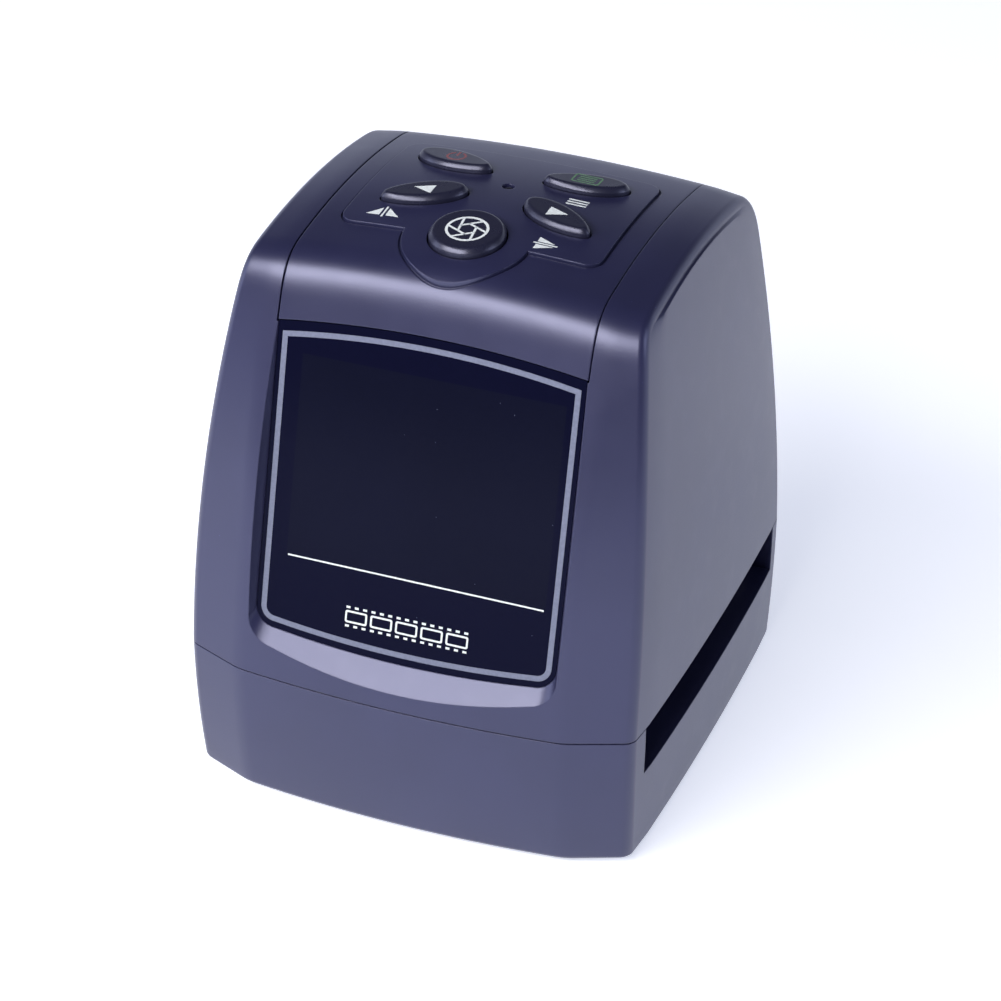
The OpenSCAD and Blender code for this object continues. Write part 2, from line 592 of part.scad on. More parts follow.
module camera_hood() lifted() color(inner_black) difference() {
    union() {
        translate([0, channel_y, 0]) {
            box(hood_w + 12, hood_d + 2, chassis_z1, chassis_z1 + hood_flange_t);
            hull() {
                box(hood_w, hood_d, chassis_z1 + hood_flange_t - 0.01, chassis_z1 + hood_flange_t);
                box(hood_neck, hood_neck, hood_top - hood_flange_t, hood_top - 1);
            }
            box(30, 19, hood_top - hood_flange_t, hood_top);
        }
        for (p = sensor_posts) post(p[0], p[1], 2.2, hood_top - 0.5, holder_z1);
    }
    translate([0, channel_y, 0]) {
        hull() {
            box(aperture_w, aperture_d, chassis_z1 - through, chassis_z1 + 0.01);
            box(barrel_d + 1, barrel_d + 1, hood_top - hood_flange_t - 0.01, hood_top - hood_flange_t);
        }
        translate([0, 0, hood_top - 4]) cylinder(r = barrel_d / 2 + 0.2, h = 6);
    }
    for (p = hood_posts) post(p[0], p[1], screw_r + 0.15, 0, chassis_z1 + hood_flange_t + through);
    for (p = sensor_posts) post(p[0], p[1], small_r + 0.05, holder_z1 - 7, holder_z1 + through);
}
// A screw that points down from a seat at z
module screw_down(x, y, z, r, l, hr, hh) translate([x, y, z]) mirror([0, 0, 1])
    screw_up(0, 0, 0, r, l, hr, hh);
module hood_screws() lifted() color(steel) for (p = hood_posts)
    screw_down(p[0], p[1], chassis_z1 + hood_flange_t, screw_r, 3.2, head_r - 0.3, head_h);
module lens_holder() lifted() color(inner_black) translate([0, channel_y, 0]) difference() {
    box(holder_w, holder_w, hood_top, holder_z1);
    translate([0, 0, hood_top - through]) cylinder(r = barrel_d / 2 + 0.05, h = 12);
    box(13, 13, holder_z1 - 4, holder_z1 + through);
}
barrel_z0 = hood_top - 1.5;
glass_r = barrel_d / 2 - 1.4;
module lens_barrel() lifted() color(inner_black) translate([0, channel_y, barrel_z0]) difference() {
    cylinder(r = barrel_d / 2, h = barrel_l);
    translate([0, 0, -through]) cylinder(r = glass_r, h = barrel_l + 2 * through);
}
// A plano-convex glass, bulging towards +z
module glass_disc(r, edge, curve) rotate_extrude() polygon(concat(
    [[0, 0], [r, 0]], [for (i = [6:-1:0]) let (x = r * i / 6) [x, edge + sag(curve, r) - sag(curve, x)]]));
module lens_front() lifted() color(glass) translate([0, channel_y, barrel_z0 + 2.6])
    mirror([0, 0, 1]) glass_disc(glass_r - 0.03, 0.8, 9);
module lens_rear() lifted() color(glass) translate([0, channel_y, barrel_z0 + barrel_l - 3])
    glass_disc(glass_r - 0.03, 0.8, 12);
module sensor_board() lifted() color(board_green) difference() {
    translate([0, channel_y, 0]) box(31, 24, holder_z1, holder_z1 + board_t);
    for (p = sensor_posts) post(p[0], p[1], small_r + 0.15, 0, holder_z1 + board_t + through);
}
module image_sensor() lifted() color(gloss_black) translate([0, channel_y, 0])
    box(9, 7, holder_z1 - 1, holder_z1);
module sensor_screws() lifted() color(steel) for (p = sensor_posts)
    screw_down(p[0], p[1], holder_z1 + board_t, small_r, 5, small_head_r, small_head_h);

// ---- Housing ----
rail_inner = panel_w / 2 - 2.4;
rail_outer = panel_w / 2 + 2.6;
rail_inset = panel_t + max(0, panel_w / 2 + crease_soft - crease_x) * tan(facet_high);
rail_t = 1.5;
function inset_line(line, d) = let (n = outward(line)) [for (i = [0:len(line) - 1]) line[i] - n[i] * d];
// Side view of the hollow: the back of the window slab, then the inside of crown and back
hollow_low = world_of([slab_back, (housing_z - 8 - window_ref_z) / cos(window_lean)]);
hollow_high = world_of([slab_back, 3.2]);
function slab_back_y(z) =
    window_ref_y + slab_back / cos(window_lean) - (window_ref_z - z) * tan(window_lean);
knee_z = chassis_z1 + 0.5;
hollow_knee = [
    [min(slab_back_y(chassis_z1), cavity_front - 0.1), chassis_z1], [slab_back_y(knee_z), knee_z]];
function hollow_profile() =
    let (line = side_profile(blend_front_z - 1, 1, 4, 5, 4, housing_z))
    concat([hollow_low], hollow_knee, [hollow_high], inset_line([for (i = [1:len(line) - 1]) line[i]], wall),
        [[rear_y(housing_z) - wall, housing_z - 6]]);
module housing_hollow() intersection() {
    rotate([90, 0, 90]) linear_extrude(body_w, center = true) polygon(hollow_profile());
    translate([0, body_d / 2, 0]) rotate([90, 0, 0]) linear_extrude(body_d) polygon(concat(
        [for (i = [0:8]) let (z = mix(housing_z - 6, body_h - 2, i / 8)) [inner_x(z), z]],
        [for (i = [8:-1:0]) let (z = mix(housing_z - 6, body_h - 2, i / 8)) [-inner_x(z), z]]));
    translate([0, 0, housing_z - 6]) linear_extrude(body_h) polygon([
        [-cavity_side, body_d / 2], [-cavity_side, cavity_front + cavity_chamfer[0]],
        [-cavity_side + cavity_chamfer[1], cavity_front - 0.4],
        [cavity_side - cavity_chamfer[1], cavity_front - 0.4],
        [cavity_side, cavity_front + cavity_chamfer[0]], [cavity_side, body_d / 2]]);
}
// The opening that the strip and the rear cover close
module strip_opening(w, low_z) intersection() {
    union() {
        in_window() pane_cap(w);
        translate([0, body_d / 2, 0]) box(w, 40, low_z, body_h + 5);
    }
    box(w, body_d * 2, low_z, body_h + 5);
}
// Everything over the upper edge of the pane, seen square to it
module pane_cap(w) translate([0, 60, 0]) rotate([90, 0, 0]) linear_extrude(90) polygon(concat(
    [for (i = [0:10]) let (x = mix(-w / 2, w / 2, i / 10))
        [x, pane_top - panel_gap + arc_rise(x, window_w)]],
    [[w / 2, 40], [-w / 2, 40]]));
module rail() {
    line = side_profile(blend_front_z - 2, 1, 4, 5, 2, housing_z + 6);
    rotate([90, 0, 90]) linear_extrude(rail_outer - rail_inner)
        polygon(concat(inset_line(line, rail_inset),
            [for (i = [len(line) - 1:-1:0]) inset_line(line, rail_inset + rail_t)[i]]));
}
board_back = 8.3;                            // front face of the main board, behind the pane
board_post_r = 2.2;
tray_t = 0.55;                               // wall of the tray round the module
board_post_x = picture_x + module_w / 2 + tray_t + board_post_r + 0.4;
main_low = pane_bottom + 3.5;
main_high = pane_top - 5.45;
board_posts = [for (x = [-board_post_x, board_post_x]) for (z = [main_low + 3.5, main_high - 3.4]) [x, z]];
rear_board_z = body_h - 26.7;
rear_board_y1 = rear_y(rear_board_z) - rail_inset - rail_t - 2 * fit;
rear_board_y0 = rear_board_y1 - 27.3;
rear_board_hw = inner_x(rear_board_z) - 0.9;
rear_post_x = rear_board_hw - 2.2;
rear_posts = [for (x = [-rear_post_x, rear_post_x])
    for (y = [rear_board_y0 + 6, rear_board_y1 - 4.3]) [x, y]];
module window_post(p, r, y0, y1) {
    translate([p[0], y0, p[1]]) rotate([-90, 0, 0]) cylinder(r = r, h = y1 - y0);
}
module upper_housing() lifted() color(satin_grey) difference() {
    union() {
        difference() {
            housing_form();
            housing_hollow();
            strip_opening(panel_w, housing_z + 1.5);
        }
        for (s = [1, -1]) translate([s > 0 ? rail_inner : -rail_outer, 0, 0]) rail();
        for (p = chassis_posts) post(p[0], p[1], chassis_post_r, chassis_z1, chassis_z1 + 11);
        for (p = case_posts) post(p[0], p[1], case_post_r, chassis_z1, chassis_z1 + 7.8);
        in_window() for (p = board_posts) window_post(p, board_post_r, slab_back - 0.5, board_back);
        for (p = rear_posts) {
            post(p[0], p[1], 2.4, rear_board_z - 11, rear_board_z);
            translate([sign(p[0]) * (abs(p[0]) + 2.6), p[1], 0])
                box(5.2, 1.6, rear_board_z - 11, rear_board_z - 0.6);
        }
    }
    window_recess();
    for (p = case_posts) post(p[0], p[1], case_post_r + fit, 0, channel_ceiling);
    in_window() translate([picture_x, 0, picture_z])
        rotate([90, 0, 0]) cube([picture_w + 2, picture_h + 2, 3 * slab_back], center = true);
    for (p = chassis_posts) post(p[0], p[1], pilot_r, 0, chassis_z1 + 9);
    for (p = case_posts) post(p[0], p[1], pilot_r, 0, chassis_z1 + 7);
    in_window() for (p = board_posts) window_post(p, small_r + 0.05, slab_back + 0.4, board_back + through);
    for (p = rear_posts) post(p[0], p[1], small_r + 0.05, rear_board_z - 7, rear_board_z + through);
}

// ---- Top panel ----
strip_widths = [for (i = [-4:4]) i * (panel_w / 2 - panel_gap) / 4];
field_front = crown_front_y + 5.9;           // front edge of the button field
field_r = 3;
scan_y = crown_front_y + 6.6;
module field_plan(d) {
    translate([0, field_front + field_d / 2]) offset(r = field_r + d)
        square([field_w - 2 * field_r, field_d - 2 * field_r], center = true);
    translate([0, scan_y - 0.4]) circle(r = field_nose_r + d);
}
light_y = crown_front_y + 25.7;
button_board_z = body_h - 12.2;
button_board_y0 = crown_front_y;
button_board_y1 = crown_front_y + 40.5;
panel_posts = [for (x = [-22, 22]) for (y = [button_board_y0 + 4, button_board_y1 - 3]) [x, y]];
module top_panel() lifted() color(satin_grey) difference() {
    union() {
        difference() {
            skin_strip(side_profile(window_ref_z - 5, 3, 7, 9, 1, panel_rear_z + panel_gap),
                strip_widths, panel_t);
            in_window() translate([0, 60, 0]) rotate([90, 0, 0]) linear_extrude(90) polygon(concat(
                [for (i = [0:10]) let (x = mix(-40, 40, i / 10))
                    [x, pane_top + panel_gap + arc_rise(x, window_w)]],
                [[40, -40], [-40, -40]]));
        }
        intersection() {
            skin_strip(side_profile(blend_front_z - 1, 1, 5, 9, 1, blend_rear_z - 1),
                [for (x = [-26:6.5:26]) x], 1, field_h);
            translate([0, 0, body_h - 15]) linear_extrude(30) field_plan(0);
        }
        for (p = panel_posts) post(p[0], p[1], 2.2, button_board_z + board_t, top_z(p[0], p[1]) - 0.9);
    }
    for (b = buttons) button_space(b);
    post(0, light_y, 1.15, 0, body_h + 5);
    for (p = panel_posts) post(p[0], p[1], small_r + 0.05, 0, button_board_z + 6);
}

// ---- Buttons: [x, y, turn, taper, is round] ----
leaf_rear_y = crown_front_y + 31.7;
leaf_front_y = crown_front_y + 17.3;
power_at = [-leaf_x, leaf_rear_y, -13, 0.14, false];
menu_at = [leaf_x, leaf_rear_y, 13, 0.14, false];
left_at = [-leaf_x, leaf_front_y, 25, -0.14, false];
right_at = [leaf_x, leaf_front_y, -25, -0.14, false];
scan_at = [0, scan_y, 0, 0, true];
buttons = [power_at, menu_at, left_at, right_at, scan_at];
bevel = 1.1;                                 // width of the slope round a button's face
bevel_h = 0.9;
collar = 0.9;                                // how far the retaining collar stands out
collar_t = 1.1;
switch_z = button_board_z + board_t;
plunger_top = switch_z + 4.5;
stem_r = 2.2;
// Outline of a button's face, grown by g; the leaf is wider towards one end
function face_outline(b, g) =
    let (a = b[4] ? scan_d / 2 + g : leaf_l / 2 + g, c = b[4] ? scan_d / 2 + g : leaf_w / 2 + g,
         side = b[0] < 0 ? -1 : 1)
    [for (i = [0:31]) let (t = i * 360 / 32)
        b[4] ? [a * cos(t), a * sin(t)]
        : [side * a * cos(t), c * sin(t) * (0.88 + 0.12 * pow(sin(t), 2)) * (1 + b[3] * cos(t))]];
module face_plate(b, g, z0, z1) {
    translate([b[0], b[1], z0]) linear_extrude(z1 - z0) rotate(b[2]) polygon(face_outline(b, g));
}
// Slope of the field under a button, front to back and side to side
function tilt_x(b) = -atan((b[1] - crown_y) / crown_r);
function tilt_y(b) = atan(2 * crown_swell * b[0] / (crease_x * crease_x));
module on_field(b, h) {
    translate([b[0], b[1], top_z(b[0], b[1]) + field_h + h]) rotate([tilt_x(b), tilt_y(b), 0])
        translate([-b[0], -b[1], 0]) children();
}
reach = leaf_l / 2 + collar;
function collar_z(b) = let (r = b[4] ? scan_d / 2 + collar : reach)
    min(top_z(abs(b[0]) + r * (b[4] ? 0.3 : 1), b[1] + r * (b[4] ? 1 : 0.5)),
        top_z(abs(b[0]) + r * (b[4] ? 0.3 : 1), b[1] - r * (b[4] ? 1 : 0.5))) - panel_t - 0.35;
module button_space(b) face_plate(b, button_gap, button_board_z + 4, body_h + 10);
module button(b) lifted() color(button_black) {
    hull() {
        on_field(b, button_rise - 0.02) face_plate(b, -bevel, 0, 0.02);
        on_field(b, button_rise - bevel_h) face_plate(b, 0, 0, 0.02);
        face_plate(b, 0, collar_z(b) - 0.2, collar_z(b));
    }
    face_plate(b, collar, collar_z(b) - collar_t, collar_z(b));
    post(b[0], b[1], stem_r, plunger_top, collar_z(b) - collar_t + 0.1);
}
module plunger(b) lifted() color(inner_black) post(b[0], b[1], 1.7, switch_z + 2.6, plunger_top);
module power_button() button(power_at);
module power_plunger() plunger(power_at);
module menu_button() button(menu_at);
module menu_plunger() plunger(menu_at);
module left_button() button(left_at);
module left_plunger() plunger(left_at);
module right_button() button(right_at);
module right_plunger() plunger(right_at);
module scan_button() button(scan_at);
module scan_plunger() plunger(scan_at);
module switch_bodies() lifted() color(steel) for (b = buttons) difference() {
    translate([b[0], b[1], 0]) box(6, 6, switch_z, switch_z + 3.5);
    post(b[0], b[1], 1.75, switch_z + 1.6, switch_z + 4);
}
board_hw = 24.6;
module button_board() lifted() color(board_green) difference() {
    translate([-board_hw, button_board_y0, button_board_z])
        cube([2 * board_hw, button_board_y1 - button_board_y0, board_t]);
    for (p = panel_posts) post(p[0], p[1], small_r + 0.15, 0, body_h);
}
module button_board_screws() lifted() color(steel) for (p = panel_posts)
    screw_up(p[0], p[1], button_board_z, small_r, 5, small_head_r, small_head_h);
module status_light() lifted() color(glass) {
    post(0, light_y, 1, switch_z, top_z(0, light_y) + field_h - 0.3);
    post(0, light_y, 2, switch_z, switch_z + 2);
}

// ---- Display ----
module display_window() lifted() color(gloss_black) in_window() difference() {
    pane_plate(-0.1, -0.1, 0, window_t);
    translate([-40, -1, pane_top + arc_rise(0, window_w) - 0.05]) cube([80, 5, 5]);
}
module_z = picture_z - 1.6;
module display_module() lifted() color(glass) in_window()
    translate([picture_x, slab_back, module_z]) rotate([-90, 0, 0]) linear_extrude(1.9)
        square([module_w, module_h], center = true);
module display_tray() lifted() color(steel) in_window() translate([picture_x, 0, module_z]) difference() {
    translate([0, slab_back + 0.2, 0]) rotate([-90, 0, 0]) linear_extrude(3)
        square([module_w + 2 * tray_t, module_h + 2 * tray_t], center = true);
    translate([0, slab_back - 1, 0]) rotate([-90, 0, 0]) linear_extrude(2.9)
        square([module_w + 2 * fit, module_h + 2 * fit], center = true);
}
main_w = 2 * (board_post_x + small_r + 0.95);
main_plug = main_low + 3.5;
main_back = board_back + board_t;
module main_board() lifted() color(board_green) in_window() difference() {
    translate([-main_w / 2, board_back, main_low]) cube([main_w, board_t, main_high - main_low]);
    for (p = board_posts) window_post(p, small_r + 0.15, 0, 20);
}
module main_board_screws() lifted() color(steel) in_window() for (p = board_posts)
    translate([p[0], main_back, p[1]]) rotate([90, 0, 0])
        screw_up(0, 0, 0, small_r, 4.6, small_head_r, small_head_h);
module chip(x, z, w, h, t) { translate([x - w / 2, main_back, z - h / 2]) cube([w, t, h]); }
module processor() lifted() color(gloss_black) in_window() chip(-4, -32, 15, 15, 1.2);
module memory_chips() lifted() color(gloss_black) in_window() for (x = [-22, 16]) chip(x, -32, 9, 13, 1);
module flex_connectors() lifted() color(opal) in_window() {
    chip(0, main_plug, 12, 3, 1.6);
    chip(0, sensor_plug, 14, 3, 1.6);
    chip(-20, rear_plug, 14, 3, 1.6);
    chip(10, button_plug, 12, 3, 1.6);
}
button_plug = main_high - 2.9;
rear_plug = button_plug - 4.5;
sensor_plug = rear_plug - 8;
// A flat cable along a path of [y, z] points, w wide
function side_at(p, i) = let (a = unit(p[i] - p[max(i - 1, 0)] + (i == 0 ? p[1] - p[0] : [0, 0])),
    b = i == len(p) - 1 ? a : unit(p[i + 1] - p[i]), m = unit(a + b)) [-m[1], m[0]] / (m * a);
function band(p, t) = concat([for (i = [0:len(p) - 1]) p[i] + side_at(p, i) * t / 2],
    [for (i = [len(p) - 1:-1:0]) p[i] - side_at(p, i) * t / 2]);
module ribbon(x, w, path) translate([x, 0, 0]) rotate([90, 0, 90])
    linear_extrude(w, center = true) polygon(band(path, cable_t));
plug_out = main_back + 1.6;
module display_flex() lifted() color(flex_amber) in_window() ribbon(-12, 14, [
    [slab_back + 0.9, flex_z + 3.5], [slab_back + 0.9, flex_z], [board_back - 0.4, flex_z],
    [board_back - 0.3, flex_z + 3.8]]);
flex_z = module_z - module_h / 2 - 4.3;      // where the display's cable turns back
module sensor_flex() lifted() color(flex_amber) ribbon(0, 10, [
    [channel_y - 9, holder_z1 + board_t + cable_t / 2 + 0.05], [channel_y - 14, holder_z1 + board_t + 0.4],
    [channel_y - 20.5, holder_z1 - 2.5], world_of([plug_out + 1.5, sensor_plug]),
    world_of([plug_out + 0.1, sensor_plug])]);
module rear_flex() lifted() color(flex_amber) ribbon(-20, 10, [
    [rear_board_y0 + 1, rear_board_z - cable_t / 2 - 0.05], [rear_board_y0 - 18, rear_board_z - 0.4],
    world_of([plug_out + 1.5, rear_plug]), world_of([plug_out + 0.1, rear_plug])]);
module button_flex() lifted() color(flex_amber) ribbon(10, 8, [
    [button_board_y0 + 3, button_board_z - cable_t / 2 - 0.05], [button_board_y0 + 0.5, button_board_z - 0.6],
    [button_board_y0 - 0.5, button_board_z - 6.5], world_of([plug_out + 1, button_plug]),
    world_of([plug_out + 0.1, button_plug])]);
module backlight_cable() lifted() color(flex_amber) ribbon(0, cable_w, [
    [channel_y - light_d / 2 - 0.1, 7], [channel_front + 1.65, 7], [cable_y, 11],
    [cable_y, chassis_z1 + 2.1], [cable_y + 2.8, chassis_z1 + 3.8], [cable_y + 9.8, chassis_z1 + 4.2],
    world_of([plug_out + 2, main_plug]), world_of([plug_out + 0.1, main_plug])]);

// ---- Rear board and its sockets ----
socket_z = rear_board_z + board_t;
rear_wall_y = rear_y(socket_z + 2) + rear_swell - panel_t;
card_w = 28;
card_x = card_w / 2 + 0.5 - rail_inner;       // clear of the rail
card_h = 3.2;
usb_w = 7.8;
usb_x = 11.5;
usb_h = 4;
usb_l = 9.2;
jack_x = 22;
jack_w = 6.4;
jack_h = 5.4;
jack_l = 12;
jack_bore = 3.6;
socket_face = rear_wall_y + panel_t - 0.9;   // outer end of the plug sockets
card_face = rear_y(socket_z + card_h) - panel_t - fit;
module rear_board() lifted() color(board_green) difference() {
    translate([-rear_board_hw, rear_board_y0, rear_board_z])
        cube([2 * rear_board_hw, rear_board_y1 - rear_board_y0, board_t]);
    for (p = rear_posts) post(p[0], p[1], small_r + 0.15, 0, body_h);
}
module rear_board_screws() lifted() color(steel) for (p = rear_posts)
    screw_down(p[0], p[1], socket_z, small_r, 5, small_head_r, small_head_h);
module card_reader() lifted() color(steel) translate([card_x, 0, 0]) difference() {
    translate([-card_w / 2, card_face - 26, socket_z]) cube([card_w, 26, card_h]);
    translate([-12.3, card_face - 24, socket_z + 0.5]) cube([24.6, 26, 2.3]);
}
module usb_socket() lifted() color(steel) translate([usb_x, socket_face, socket_z]) {
    difference() {
        translate([-usb_w / 2, -usb_l, 0]) cube([usb_w, usb_l, usb_h]);
        translate([-usb_w / 2 + 0.4, 0.4 - usb_l, 0.4]) cube([usb_w - 0.8, usb_l + 2, usb_h - 0.8]);
    }
    translate([-2.1, -usb_l, usb_h / 2]) cube([4.2, usb_l - 1.4, 0.9]);
}
module video_jack() lifted() color(inner_black) translate([jack_x, socket_face, socket_z]) difference() {
    translate([-jack_w / 2, -jack_l, 0]) cube([jack_w, jack_l, jack_h]);
    translate([0, through, jack_h / 2]) rotate([90, 0, 0]) cylinder(d = jack_bore, h = 10 + through);
}
cover_gap = 0.25;
cover_low_z = housing_z + 1.5 + 3 * panel_gap;
module rear_cover() lifted() color(satin_grey) difference() {
    skin_strip([for (i = [0:4]) let (z = mix(panel_rear_z - panel_gap, cover_low_z, i / 4)) [rear_y(z), z]],
        strip_widths, panel_t);
    translate([card_x, 0, 0]) socket_hole(card_w - 2.6, socket_z + 0.3, socket_z + card_h - 0.2, 0);
    translate([usb_x, 0, 0]) socket_hole(usb_w, socket_z, socket_z + usb_h, cover_gap);
    translate([jack_x, 0, 0]) socket_hole(jack_w, socket_z, socket_z + jack_h, cover_gap);
    // Cooling slots
    for (i = [0:4]) let (z = seam_z + 17.2 + 5 * i) translate([0, body_d / 2, 0]) box(30, 30, z, z + 1.6);
}
module socket_hole(w, z0, z1, g) {
    translate([0, body_d / 2, 0]) box(w + 2 * g, 30, z0 - g, z1 + g);
}

base_shell();
bottom_cover();
rubber_feet();
cover_screws();
housing_screws();
backlight_housing();
backlight_board();
backlight_leds();
diffuser_plate();
backlight_screws();
detent_springs();
camera_chassis();
chassis_screws();
camera_hood();
hood_screws();
lens_holder();
lens_barrel();
lens_front();
lens_rear();
image_sensor();
sensor_board();
sensor_screws();
upper_housing();
top_panel();
rear_cover();
display_window();
display_module();
display_tray();
main_board();
main_board_screws();
processor();
memory_chips();
flex_connectors();
display_flex();
sensor_flex();
rear_flex();
button_flex();
backlight_cable();
rear_board();
rear_board_screws();
card_reader();
usb_socket();
video_jack();
button_board();
button_board_screws();
switch_bodies();
status_light();
power_button();
power_plunger();
menu_button();
menu_plunger();
left_button();
left_plunger();
right_button();
right_plunger();
scan_button();
scan_plunger();
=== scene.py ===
"""Looks of a desktop film negative scanner, built round its packed frame."""
import json
import math

import bmesh
import bpy
import numpy as np
from bpy.props import FloatProperty, FloatVectorProperty, PointerProperty
from mathutils import Matrix, Vector


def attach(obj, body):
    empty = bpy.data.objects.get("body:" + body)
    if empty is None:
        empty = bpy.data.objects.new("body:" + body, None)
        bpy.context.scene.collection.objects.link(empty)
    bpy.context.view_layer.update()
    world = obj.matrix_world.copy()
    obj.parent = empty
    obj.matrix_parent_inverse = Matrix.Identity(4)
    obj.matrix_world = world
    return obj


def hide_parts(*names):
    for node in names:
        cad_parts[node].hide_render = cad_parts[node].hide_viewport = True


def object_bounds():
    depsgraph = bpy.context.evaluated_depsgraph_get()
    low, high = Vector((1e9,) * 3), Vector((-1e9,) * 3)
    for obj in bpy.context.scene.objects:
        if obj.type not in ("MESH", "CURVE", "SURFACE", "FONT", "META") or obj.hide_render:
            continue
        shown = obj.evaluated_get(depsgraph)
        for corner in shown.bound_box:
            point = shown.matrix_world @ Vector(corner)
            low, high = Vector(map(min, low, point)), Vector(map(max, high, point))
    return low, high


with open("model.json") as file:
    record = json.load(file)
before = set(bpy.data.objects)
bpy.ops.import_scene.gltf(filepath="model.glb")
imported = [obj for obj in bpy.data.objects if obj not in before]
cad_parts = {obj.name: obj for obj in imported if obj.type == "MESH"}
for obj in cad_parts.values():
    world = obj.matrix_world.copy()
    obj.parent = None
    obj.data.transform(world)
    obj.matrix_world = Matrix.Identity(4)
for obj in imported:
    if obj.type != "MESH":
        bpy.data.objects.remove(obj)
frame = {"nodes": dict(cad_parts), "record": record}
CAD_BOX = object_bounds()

bl_info = {
    "name": "Film Scanner",
    "version": (1, 0, 0),
    "blender": (4, 5, 0),
    "location": "3D View > Sidebar > Scanner",
    "description": "Builds the mouldings, window, keys and finishes of a film scanner",
    "category": "Object",
}

MM = 0.001
FOOT_RISE = 0.8                  # the feet lift the case by this much, in millimetres
SHARP_ANGLE = math.radians(28)   # edges that turn more than this stay sharp
UPRIGHT = Matrix.Rotation(math.pi / 2, 4, "X")   # stands a plan up, facing the front

# What the pieces share, in millimetres: radii of the screw holes and of their posts
PILOT, PILOT_WIDE, SHANK, HEAD = 0.95, 1.25, 1.35, 2.5
BOSS, BOSS_MEDIUM, BOSS_SMALL = 3.2, 2.4, 2.2
BOARD = 1.2                      # thickness of the circuit boards
THROUGH, BEYOND = 1.0, 20.0      # how far a cut runs past a face, and past the case
WELD, LAP = 0.2, 0.01            # how far a post runs into the shelf, and a cut into the next
PRINT = 0.02                     # how far a print lies in the face under it


# ---- Sizes and colours that the sidebar offers ----
def length(name, text, millimetres, low, high):
    """A size, which is kept in metres."""
    return FloatProperty(name=name, description=text, default=millimetres * MM,
                         min=low * MM, max=high * MM, unit="LENGTH", precision=5)


def colour(name, text, value):
    """A colour, as red, green and blue of the light it sends back."""
    return FloatVectorProperty(name=name, description=text, default=value, min=0, max=1,
                               size=3, subtype="COLOR")


def share(name, text, value):
    """A part of a whole."""
    return FloatProperty(name=name, description=text, default=value, min=0, max=1,
                         subtype="FACTOR")


class ScannerCase(bpy.types.PropertyGroup):
    """Sizes of the two case mouldings"""
    width: length("Width", "Width at the parting line", 87.5, 80, 96)
    depth: length("Depth", "Depth at the parting line", 89.6, 84, 98)
    height: length("Height", "Height of the crown over the base's underside", 104.7, 98, 115)
    seam: length("Parting line", "Height of the line between base and housing", 26.8, 26, 32)
    wall: length("Wall", "Wall thickness of the mouldings", 2.2, 1.8, 2.6)
    seam_gap: length("Seam", "Groove between base and housing", 0.22, 0.2, 0.8)
    corner: length("Corner width", "Width of the corner facets", 12.75, 11, 13.4)
    edge: length("Edge radius", "Radius of the side edges", 1.6, 0.8, 2.4)
    channel_floor: length("Channel floor", "Height of the film channel's floor", 17.1, 16.5, 18)


class ScannerPanel(bpy.types.PropertyGroup):
    """Sizes of the strip over the crown and of its key field"""
    width: length("Width", "Width of the strip", 57.8, 56, 59)
    thickness: length("Thickness", "Thickness of the strip", 1.8, 1.4, 2.2)
    gap: length("Gap", "Gap at the edges of the strip", 0.2, 0.1, 0.3)
    rear_drop: length("Rear drop", "Where the strip meets the rear cover, under the crown",
                      14.2, 13.9, 16)
    field_width: length("Field width", "Width of the raised key field", 48.4, 44, 50)
    field_depth: length("Field depth", "Depth of the raised key field", 33.8, 30, 36)
    field_rise: length("Field height", "Height of the key field over the strip", 0.45, 0.3, 0.7)
    nose: length("Nose radius", "Radius of the field's round end", 11.4, 10, 13)


class ScannerWindow(bpy.types.PropertyGroup):
    """Sizes of the display window"""
    lean: FloatProperty(name="Lean", description="Lean of the window from the vertical",
                        default=math.radians(13.8), unit="ROTATION")
    width: length("Width", "Width of the window", 57.2, 56, 58)
    thickness: length("Thickness", "Thickness of the window", 1.2, 0.8, 1.6)
    corner: length("Corner radius", "Radius of the lower corners", 4, 3, 6)
    arc: length("Arc", "Rise of the arc of the upper and lower edges", 2, 1, 3)
    picture_width: length("Picture width", "Width of the display's picture", 48.96, 46, 50)
    picture_height: length("Picture height", "Height of the display's picture", 36.72, 34, 38)
    line: length("Frame line", "Width of the printed frame line", 1.0, 0.4, 1.6)


class ScannerKeys(bpy.types.PropertyGroup):
    """Sizes of the five push buttons"""
    leaf_length: length("Leaf length", "Length of the leaf shaped buttons", 15.4, 13, 16.5)
    leaf_width: length("Leaf width", "Width of the leaf shaped buttons", 6.8, 5.5, 8)
    round_width: length("Round button", "Diameter of the scan button", 13.6, 12, 15)
    rise: length("Rise", "How far a button stands over the field", 1.5, 1, 2.2)
    gap: length("Gap", "Gap round a button in its hole", 0.25, 0.2, 0.5)
    leaf_place: length("Sideways place", "Sideways place of the leaf buttons", 12.5, 12, 13)


class ScannerFinish(bpy.types.PropertyGroup):
    """Colours and surface of the finishes"""
    case: colour("Case", "Satin plastic of the mouldings", (0.0200, 0.0215, 0.065))
    key: colour("Buttons", "Semi-gloss plastic of the buttons", (0.015, 0.016, 0.036))
    window: colour("Window", "Black print behind the window", (0.0028, 0.0032, 0.017))
    picture: colour("Display", "Display that shows through the window", (0.0042, 0.0050, 0.0165))
    frame_line: colour("Frame line", "Print round the window", (0.20, 0.225, 0.34))
    # The white print also colours the painted highlight line under the display's picture
    white_print: colour("White print", "White signs", (0.86, 0.94, 1.0))
    red_print: colour("Red print", "Sign of the power button", (0.27, 0.095, 0.115))
    green_print: colour("Green print", "Sign of the menu button", (0.12, 0.26, 0.15))
    spark: share("Spark texture", "Depth of the fine spark texture", 0.35)


GROUPS = {"scanner_case": ScannerCase, "scanner_panel": ScannerPanel,
          "scanner_window": ScannerWindow, "scanner_keys": ScannerKeys,
          "scanner_finish": ScannerFinish}


# ---- Plain sums on curves, in millimetres ----
def sag(radius, distance):
    """How far a circle falls away at a distance from its tangent point."""
    return radius - np.sqrt(radius * radius - distance * distance)


